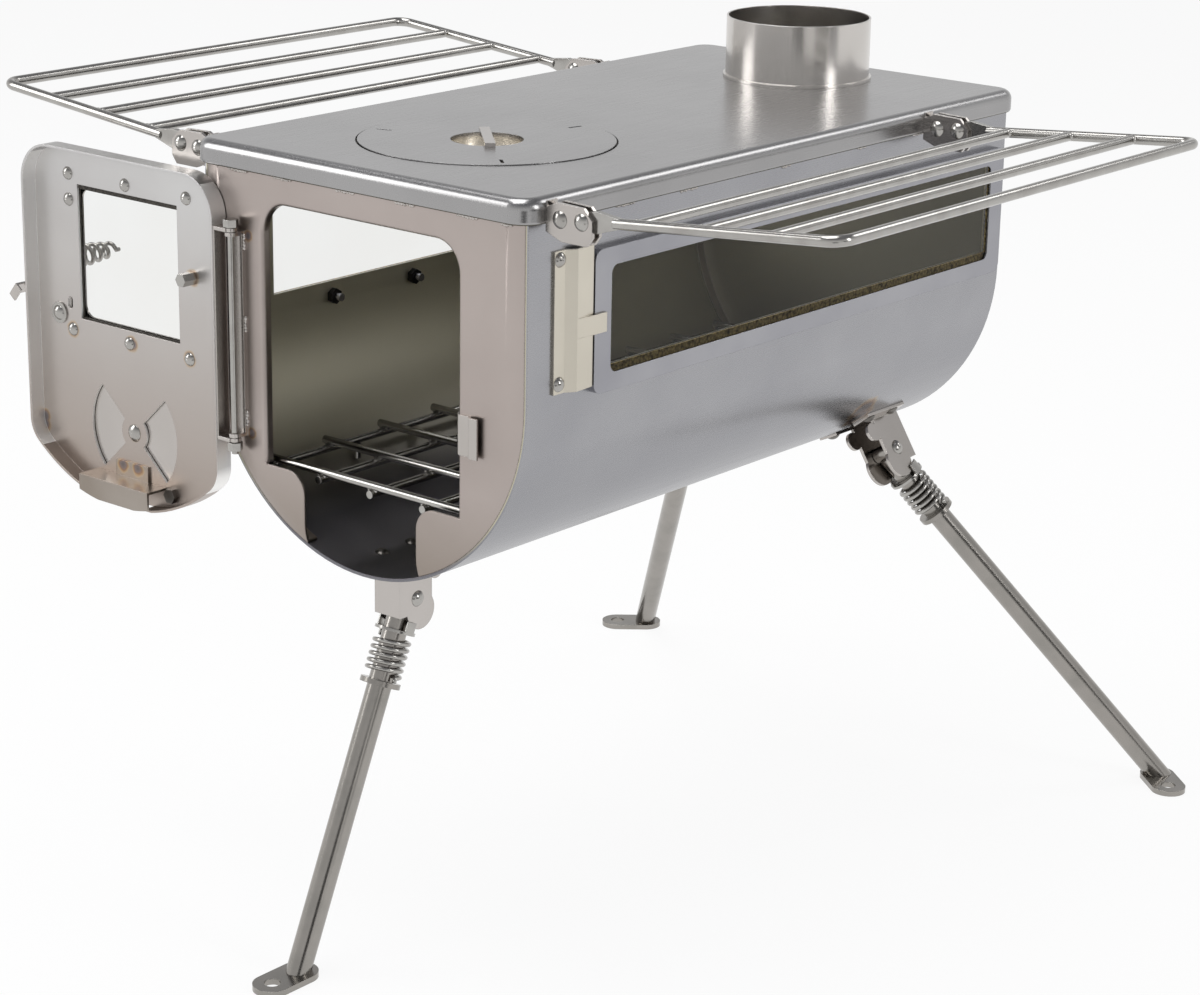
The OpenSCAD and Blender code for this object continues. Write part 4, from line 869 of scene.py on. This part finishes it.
@dataclass
class Door:
    """The hinged door with its window, its lip for ashes, damper and latch."""

    place: Place
    centre_x_mm: float = -153.6
    inner_face_mm: float = 2.5
    darker_below_mm: Pair = (-30.0, -180.0)
    # Screws, latch and hinge welds that left a tint, from the door's middle line and the lid's top
    pan_tints_mm: tuple[Pair, ...] = (
        (-42.3, -110), (0.8, -110), (42.3, -110), (0.8, -155.5), (45.7, -69.1),
        (-66.5, -164), (-66.5, -160), (68, -44), (68, -91), (68, -137))
    lip_tints_mm: tuple[Pair, ...] = ((-7, -173), (4, -173))
    grip: Coil = Coil(start_r_mm=6.5, end_r_mm=3.0, wire_mm=2.2, turns=5.5, length_mm=35.0)

    def spot(self, x: float, z: float) -> Vector:
        """Give a point on the door's inner face, from its middle line.

        Args:
            x: Distance to the right of the door's middle line, in millimetres.
            z: Depth from the lid's top, negative down, in millimetres.

        Returns:
            The point in metres.
        """
        return self.place.at((self.centre_x_mm + x, self.inner_face_mm, z))

    def dress(self, stamped: Material, glass: Material, cord: Material,
              bright: Material, dark: Material) -> None:
        """Finish every piece of the door.

        Args:
            stamped: Finish of the frame, damper, handle and hinge bracket.
            glass: Finish of the pane.
            cord: Finish of the sealing cord.
            bright: Finish of the rivet, spindle, stud and screws.
            dark: Finish of the lip's bolt.
        """
        pan_tints = tuple(self.spot(x, z) for x, z in self.pan_tints_mm)
        # Brushed door sheet, cool at the top and warmer and darker towards the ash lip. Its faces
        # turned to the right, the rim's side wall, are painted near white as a painted highlight. Each
        # screw and weld left a small straw and blue ring
        pan = SheetSteel("Brushed door stainless", "#cccbca", "#c2c0bf", Axis.ACROSS, 0.34,
                         fade=Fade.between(self.place, self.darker_below_mm, "#a99e96"),
                         # Painted highlight: the faces turned to the right, the rim's side wall, are
                         # near white
                         tint=HeatTint(pan_tints, reach_mm=5.0), heat_and_painted_light_colour="#fbfaf8",
                         heat_and_painted_light_side=FacingSide((1.0, 0.0, 0.0))).make()
        dress(["door_pan"], pan)
        lip_tints = tuple(self.spot(x, z) for x, z in self.lip_tints_mm)
        # The lip sits in the ash, so it is browner and more clouded than the pan
        lip = SheetSteel("Folded lip stainless", "#a39b93", "#8d8379", Axis.ACROSS, 0.3,
                         tint=HeatTint(lip_tints, reach_mm=5.0)).make()
        dress(["door_lip"], lip)
        dress(["door_window_frame", "door_hinge_bracket", "air_damper", "door_handle"], stamped)
        dress(["door_glass"], glass)
        dress(["door_gasket"], cord)
        dress(["vent_rivet", "latch_spindle", "door_stud", "door_screws"], bright)
        dress(["lip_bolt"], dark)

    def wind_grip(self, steel: Material) -> None:
        """Wind the handle's tapering wire grip in place of its plain solid.

        Args:
            steel: The wire's material.
        """
        wire_radius = self.grip.wire_mm / 2 * MM
        low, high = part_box("handle_grip")
        # The grip's axis runs along +Y on the open door, from its wide end to its narrow one
        axis_x = high.x - (self.grip.start_r_mm * MM + wire_radius)
        axis_z = (low.z + high.z) / 2
        turned = [Vector((axis_x - p.x, low.y + p.z, axis_z + p.y)) for p in self.grip.path()]
        points, faces = tube(turned, wire_radius, 14)
        piece = mesh_piece("wound_grip", points, faces, steel, "latch")
        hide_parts("handle_grip")


@dataclass
class Shelf:
    """One rod shelf with the beads that join its rods."""

    side: int
    place: Place
    pivot_mm: Pair = (125.0, -7.7)
    tilt_deg: float = 5.15
    span_mm: float = 133.0
    pitch_mm: float = 35.0
    inner_rods: int = 3
    rods_y_mm: Pair = (16.0, 306.0)
    bead_inset_mm: float = 2.4
    bead_side_mm: float = 1.9
    bead_rise_mm: float = 0.5

    def name(self) -> str:
        """Give the shelf's side in words."""
        return "left" if self.side < 0 else "right"

    def build(self, beads: Beads, steel: Material) -> None:
        """Dress the shelf and weld its rods together.

        Args:
            beads: The bead maker.
            steel: The rods' and beads' material.
        """
        dress([f"shelf_{self.name()}"], steel)
        tilt = math.radians(self.tilt_deg)
        points = []
        for rod_y, inward in zip(self.rods_y_mm, (1, -1)):
            y = rod_y + inward * self.bead_inset_mm
            for i in range(1, self.inner_rods + 1):
                along = self.span_mm - self.pitch_mm * i
                x = self.pivot_mm[0] + along * math.cos(tilt)
                z = self.pivot_mm[1] + along * math.sin(tilt) + self.bead_rise_mm
                points += [self.place.at((self.side * (x + s * self.bead_side_mm), y, z))
                           for s in SIDES]
        beads.make(f"{self.name()}_shelf_welds", points, radius_mm=1.5, uneven=0.25, material=steel,
                   body=f"{self.name()}_shelf")


@dataclass
class Leg:
    """One folding leg: tube, foot, locking cup and its spring."""

    key: str
    place: Place
    pivot_mm: Point
    lean_deg: float
    splay_deg: float
    spring: Coil = Coil(start_r_mm=8.35, end_r_mm=8.35, wire_mm=2.2, turns=5.5, length_mm=22.6)
    spring_end_mm: float = 41.6
    cup_slide_mm: float = 8.0

    @classmethod
    def front(cls, place: Place) -> "Leg":
        """Give the front leg, which leans forwards."""
        return cls("front", place, (0.0, 35.0, -212.0), lean_deg=-23.6, splay_deg=0.0)

    @classmethod
    def rear(cls, place: Place, side: int) -> "Leg":
        """Give the rear leg of one side, which leans back and splays out."""
        key = "rear_left" if side < 0 else "rear_right"
        pivot = (side * 64.976, 342.8, -196.0)
        return cls(key, place, pivot, lean_deg=26.0, splay_deg=-side * 32.6)

    def build(self, tube_steel: Material, bright: Material) -> None:
        """Dress the leg and wind its spring in place of the plain one.

        Args:
            tube_steel: Finish of the tube and foot.
            bright: Finish of the cup and the spring.
        """
        dress([f"leg_tube_{self.key}", f"foot_plate_{self.key}"], tube_steel)
        dress([f"lock_cup_{self.key}"], bright)
        turn = Matrix.Rotation(math.radians(self.splay_deg), 4, "Y") @ Matrix.Rotation(
            math.radians(self.lean_deg), 4, "X")
        pivot = self.place.at(self.pivot_mm)
        foot = Vector((0, 0, -self.spring_end_mm * MM))
        path = [pivot + (turn @ (p + foot)) for p in self.spring.path()]
        points, faces = tube(path, self.spring.wire_mm / 2 * MM, 12)
        piece = mesh_piece(f"wound_spring_{self.key}", points, faces, bright, f"{self.key}_leg")
        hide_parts(f"leg_spring_{self.key}")
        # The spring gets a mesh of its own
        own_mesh(piece)


@dataclass
class Grate:
    """The loose rod grate with its weld nuggets."""

    place: Place
    first_mm: float = 13.5
    pitch_mm: float = 38.9
    count: int = 10
    rows_mm: tuple[float, ...] = (-67.0, -33.5, 0.0, 33.5, 67.0)
    joint_z_mm: float = -154.4
    nugget_side_mm: float = 2.0

    def build(self, beads: Beads, steel: Material) -> None:
        """Dress the grate and set a nugget where rods cross.

        Args:
            beads: The bead maker.
            steel: The rods' material.
        """
        dress(["grate"], steel)
        points = [self.place.at((x + s * self.nugget_side_mm, self.first_mm + self.pitch_mm * i,
                                 self.joint_z_mm))
                  for x in self.rows_mm for i in range(self.count) for s in SIDES]
        beads.make("grate_welds", points, radius_mm=1.1, uneven=0.25, material=steel, body="grate")


@dataclass
class Studio:
    """Pale floor, soft light and the camera at the photograph's place."""

    place: Place
    azimuth_deg: float = 39.4907
    elevation_deg: float = 17.734
    roll_deg: float = -1.0058
    lens_mm: float = 90.65
    eye_mm: Point = (936.5, -956.3, 273.5)
    floor_colour: str = "#f2f2f2"
    floor_half_m: float = 9.0
    floor_glow: float = 0.9
    horizon: float = 0.12
    overhead: float = 0.75

    def camera(self) -> None:
        """Set the camera where the photograph was taken from."""
        az, el, roll = (math.radians(v) for v in (self.azimuth_deg, self.elevation_deg, self.roll_deg))
        back = Vector((math.sin(az) * math.cos(el), -math.cos(az) * math.cos(el), math.sin(el)))
        right = (-back).cross(Vector((0, 0, 1))).normalized()
        down = (-back).cross(right)
        across = right * math.cos(roll) + down * math.sin(roll)
        under = down * math.cos(roll) - right * math.sin(roll)
        data = bpy.data.cameras.new("Camera")
        data.sensor_width = 36.0
        data.lens = self.lens_mm
        data.clip_end = 50.0
        camera = put("Camera", data)
        turn = Matrix((across, -under, back)).transposed().to_4x4()
        camera.matrix_world = Matrix.Translation(self.place.at(self.eye_mm)) @ turn
        bpy.context.scene.camera = camera

    def floor(self) -> None:
        """Lay the white floor, which glows for what sees it and still keeps the stove's shadow."""
        size = self.floor_half_m
        mesh = bpy.data.meshes.new("floor")
        mesh.from_pydata([(-size, -size, 0), (size, -size, 0), (size, size, 0), (-size, size, 0)], [],
                         [(0, 1, 2, 3)])
        floor = put("floor", mesh)
        material, tree = new_material("White studio floor")
        rays = add(tree, "ShaderNodeLightPath").outputs
        direct = add(tree, "ShaderNodeMath", {0: rays["Is Camera Ray"], 1: rays["Is Transmission Ray"]},
                     operation="MAXIMUM")
        seen = add(tree, "ShaderNodeMath", {0: direct.outputs[0], 1: rays["Is Glossy Ray"]},
                   operation="MAXIMUM")
        matt = add(tree, "ShaderNodeBsdfDiffuse", {"Color": srgb(self.floor_colour)})
        lit = add(tree, "ShaderNodeEmission", {"Color": srgb("#ffffff"), "Strength": 1.0})
        share = add(tree, "ShaderNodeMath", {0: seen.outputs[0], 1: self.floor_glow},
                    operation="MULTIPLY")
        mix = add(tree, "ShaderNodeMixShader", {
            0: share.outputs[0], 1: matt.outputs[0], 2: lit.outputs[0]})
        close_material(tree, mix)
        mesh.materials.append(material)

    def world(self) -> None:
        """Light the room softly, white at the horizon, greyer overhead and plain white to the eye."""
        world = bpy.data.worlds.new("Studio")
        world.use_nodes = True
        bpy.context.scene.world = world
        tree = world.node_tree
        tree.nodes.clear()
        way = add(tree, "ShaderNodeTexCoord").outputs["Generated"]
        height = add(tree, "ShaderNodeSeparateXYZ", {0: way}).outputs[2]
        ramp = add(tree, "ShaderNodeValToRGB", {0: height})
        bar = ramp.color_ramp
        bar.elements[0].position = self.horizon
        bar.elements[0].color = srgb("#ffffff")
        bar.elements[1].position = self.overhead
        bar.elements[1].color = srgb("#8f9094")
        shade = add(tree, "ShaderNodeBackground", {"Color": ramp.outputs[0], "Strength": 0.9})
        white = add(tree, "ShaderNodeBackground", {"Color": srgb("#ffffff"), "Strength": 1.0})
        rays = add(tree, "ShaderNodeLightPath").outputs
        direct = add(tree, "ShaderNodeMath", {0: rays["Is Camera Ray"], 1: rays["Is Transmission Ray"]},
                     operation="MAXIMUM")
        mix = add(tree, "ShaderNodeMixShader", {
            0: direct.outputs[0], 1: shade.outputs[0], 2: white.outputs[0]})
        add(tree, "ShaderNodeOutputWorld", {"Surface": mix.outputs[0]})

    def lamp(self, name: str, at: Point, aim: Point, size: Pair, power: float) -> None:
        """Hang one soft box.

        Args:
            name: The lamp's name.
            at: Its place, in metres.
            aim: The point that it faces.
            size: Its width and height, in metres.
            power: Its power, in watts.
        """
        data = bpy.data.lights.new(name, "AREA")
        data.shape = "RECTANGLE"
        data.size, data.size_y = size
        data.energy = power
        lamp = put(name, data)
        lamp.location = at
        lamp.rotation_euler = (Vector(aim) - Vector(at)).to_track_quat("-Z", "Y").to_euler()

    def card(self, name: str, middle: Point, width: float, height: float, turn_deg: float) -> None:
        """Stand a black card, unseen by the camera, which gives bright metal dark reflections.

        Args:
            name: The card's name.
            middle: Its middle, in metres.
            width: Its width, in metres.
            height: Its height, in metres.
            turn_deg: Its turn about the vertical, in degrees.
        """
        turn = Matrix.Rotation(math.radians(turn_deg), 3, "Z")
        corners = [Vector(middle) + turn @ Vector((sx * width / 2, 0, sz * height / 2))
                   for sx, sz in ((-1, -1), (1, -1), (1, 1), (-1, 1))]
        mesh = bpy.data.meshes.new(name)
        mesh.from_pydata([tuple(c) for c in corners], [], [(0, 1, 2, 3)])
        card = put(name, mesh)
        card.visible_camera = False
        card.visible_shadow = False
        card.visible_diffuse = False
        material, tree = new_material(name + " board")
        close_material(tree, add(tree, "ShaderNodeBsdfDiffuse", {"Color": srgb("#1b1b1d")}))
        mesh.materials.append(material)

    def build(self) -> None:
        """Set up the whole studio."""
        self.camera()
        self.floor()
        self.world()
        self.lamp("Overhead box", (-0.4, -0.3, 2.2), aim=(0, 0, 0.3), size=(1.6, 1.2), power=26)
        self.lamp("Left box", (-2.0, -1.6, 1.4), aim=(0, 0, 0.2), size=(1.0, 1.4), power=18)
        self.lamp("Right box", (2.4, 0.2, 1.2), aim=(0, 0, 0.25), size=(0.5, 1.5), power=14)
        self.lamp("Rear box", (0.75, 1.8, 1.9), aim=(0, 0, 0.35), size=(0.9, 0.6), power=6)
        self.card("Right card", (1.7, -0.1, 0.35), width=1.2, height=0.5, turn_deg=78)
        self.card("Front card", (0.78, -0.95, 0.16), width=0.42, height=0.32, turn_deg=39.5)
        bpy.context.scene.view_settings.view_transform = "Standard"


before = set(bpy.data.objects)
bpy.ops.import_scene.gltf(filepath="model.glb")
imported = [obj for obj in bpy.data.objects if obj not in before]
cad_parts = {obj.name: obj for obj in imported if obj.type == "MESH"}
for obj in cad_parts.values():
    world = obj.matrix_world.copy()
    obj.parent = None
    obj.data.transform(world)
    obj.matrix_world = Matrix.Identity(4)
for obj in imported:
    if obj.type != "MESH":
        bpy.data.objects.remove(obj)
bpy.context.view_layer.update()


def main() -> None:
    """Dress the stove piece by piece and set up its studio."""
    logging.basicConfig(level=logging.INFO, format="%(name)s: %(message)s")
    place = Place.from_frame()
    Studio(place).build()
    beads = Beads()
    # Bright-drawn wire and tumbled stampings: narrow hard highlights beside dark reflections
    bright = BrightSteel("Polished stainless", "#adaba7", "#a09d99", 0.17).make()
    # Drawn tube is left unpolished, so it is a duller warm grey with one soft line of light
    tube_steel = BrightSteel("Drawn stainless tube", "#9d9994", "#93908b", 0.19, 0.03).make()
    # Rivets and the seat near the fire have browned, which dulls and darkens their highlights
    dark = BrightSteel("Heat-darkened steel", "#7d7a76", "#5f5c58", 0.3).make()
    # Black-oxide nuts, nearly unreflecting
    black = BrightSteel("Black oxide steel", "#2b2a2a", "#232222", 0.5).make()
    # The window frames are cut from the wall's sheet: cool grey, streaked along their length
    frame_steel = SheetSteel("Satin frame stainless", "#a4a4a8", "#94949a", Axis.ALONG, 0.25).make()
    # Small stampings are paler than the big sheets, with a slightly warm satin face
    stamped = SheetSteel("Satin stamped stainless", "#bfbab6", "#b2ada8", Axis.ACROSS, 0.24).make()
    # Clear with a trace of brown smoke
    glass = HeatGlass("Glass-ceramic", "#cfc4b4").make()
    # The door's cord is sooty and draws a thin dark line round its pane
    cord = FibreCord("Glass-fibre cord").make()
    # The side windows' cord has been scorched to a golden brown
    gold_cord = FibreCord("Scorched glass-fibre cord", "#3f3320", "#c2ad76", 1.6).make()
    body = Body(place)
    body.dress()
    body.weld(beads, stamped)
    Windows().dress(frame_steel, glass, gold_cord, black)
    door = Door(place)
    door.dress(stamped, glass, cord, bright, dark)
    door.wind_grip(bright)
    for side in SIDES:
        Shelf(side, place).build(beads, bright)
    dress(["shelf_rivets", "leg_pivot_rivets", "clip_screws", "hinge_bolt", "hinge_nut"], bright)
    dress(["latch_catch", "hinge_bracket", "leg_bracket_front", "leg_bracket_rear_left",
           "leg_bracket_rear_right", "shelf_brackets", "hotplate_bar"], stamped)
    dress(["leg_bracket_rivets", "hotplate_seat"], dark)
    Grate(place).build(beads, bright)
    Leg.front(place).build(tube_steel, bright)
    for side in SIDES:
        Leg.rear(place, side).build(tube_steel, bright)


if __name__ == "__main__":
    main()
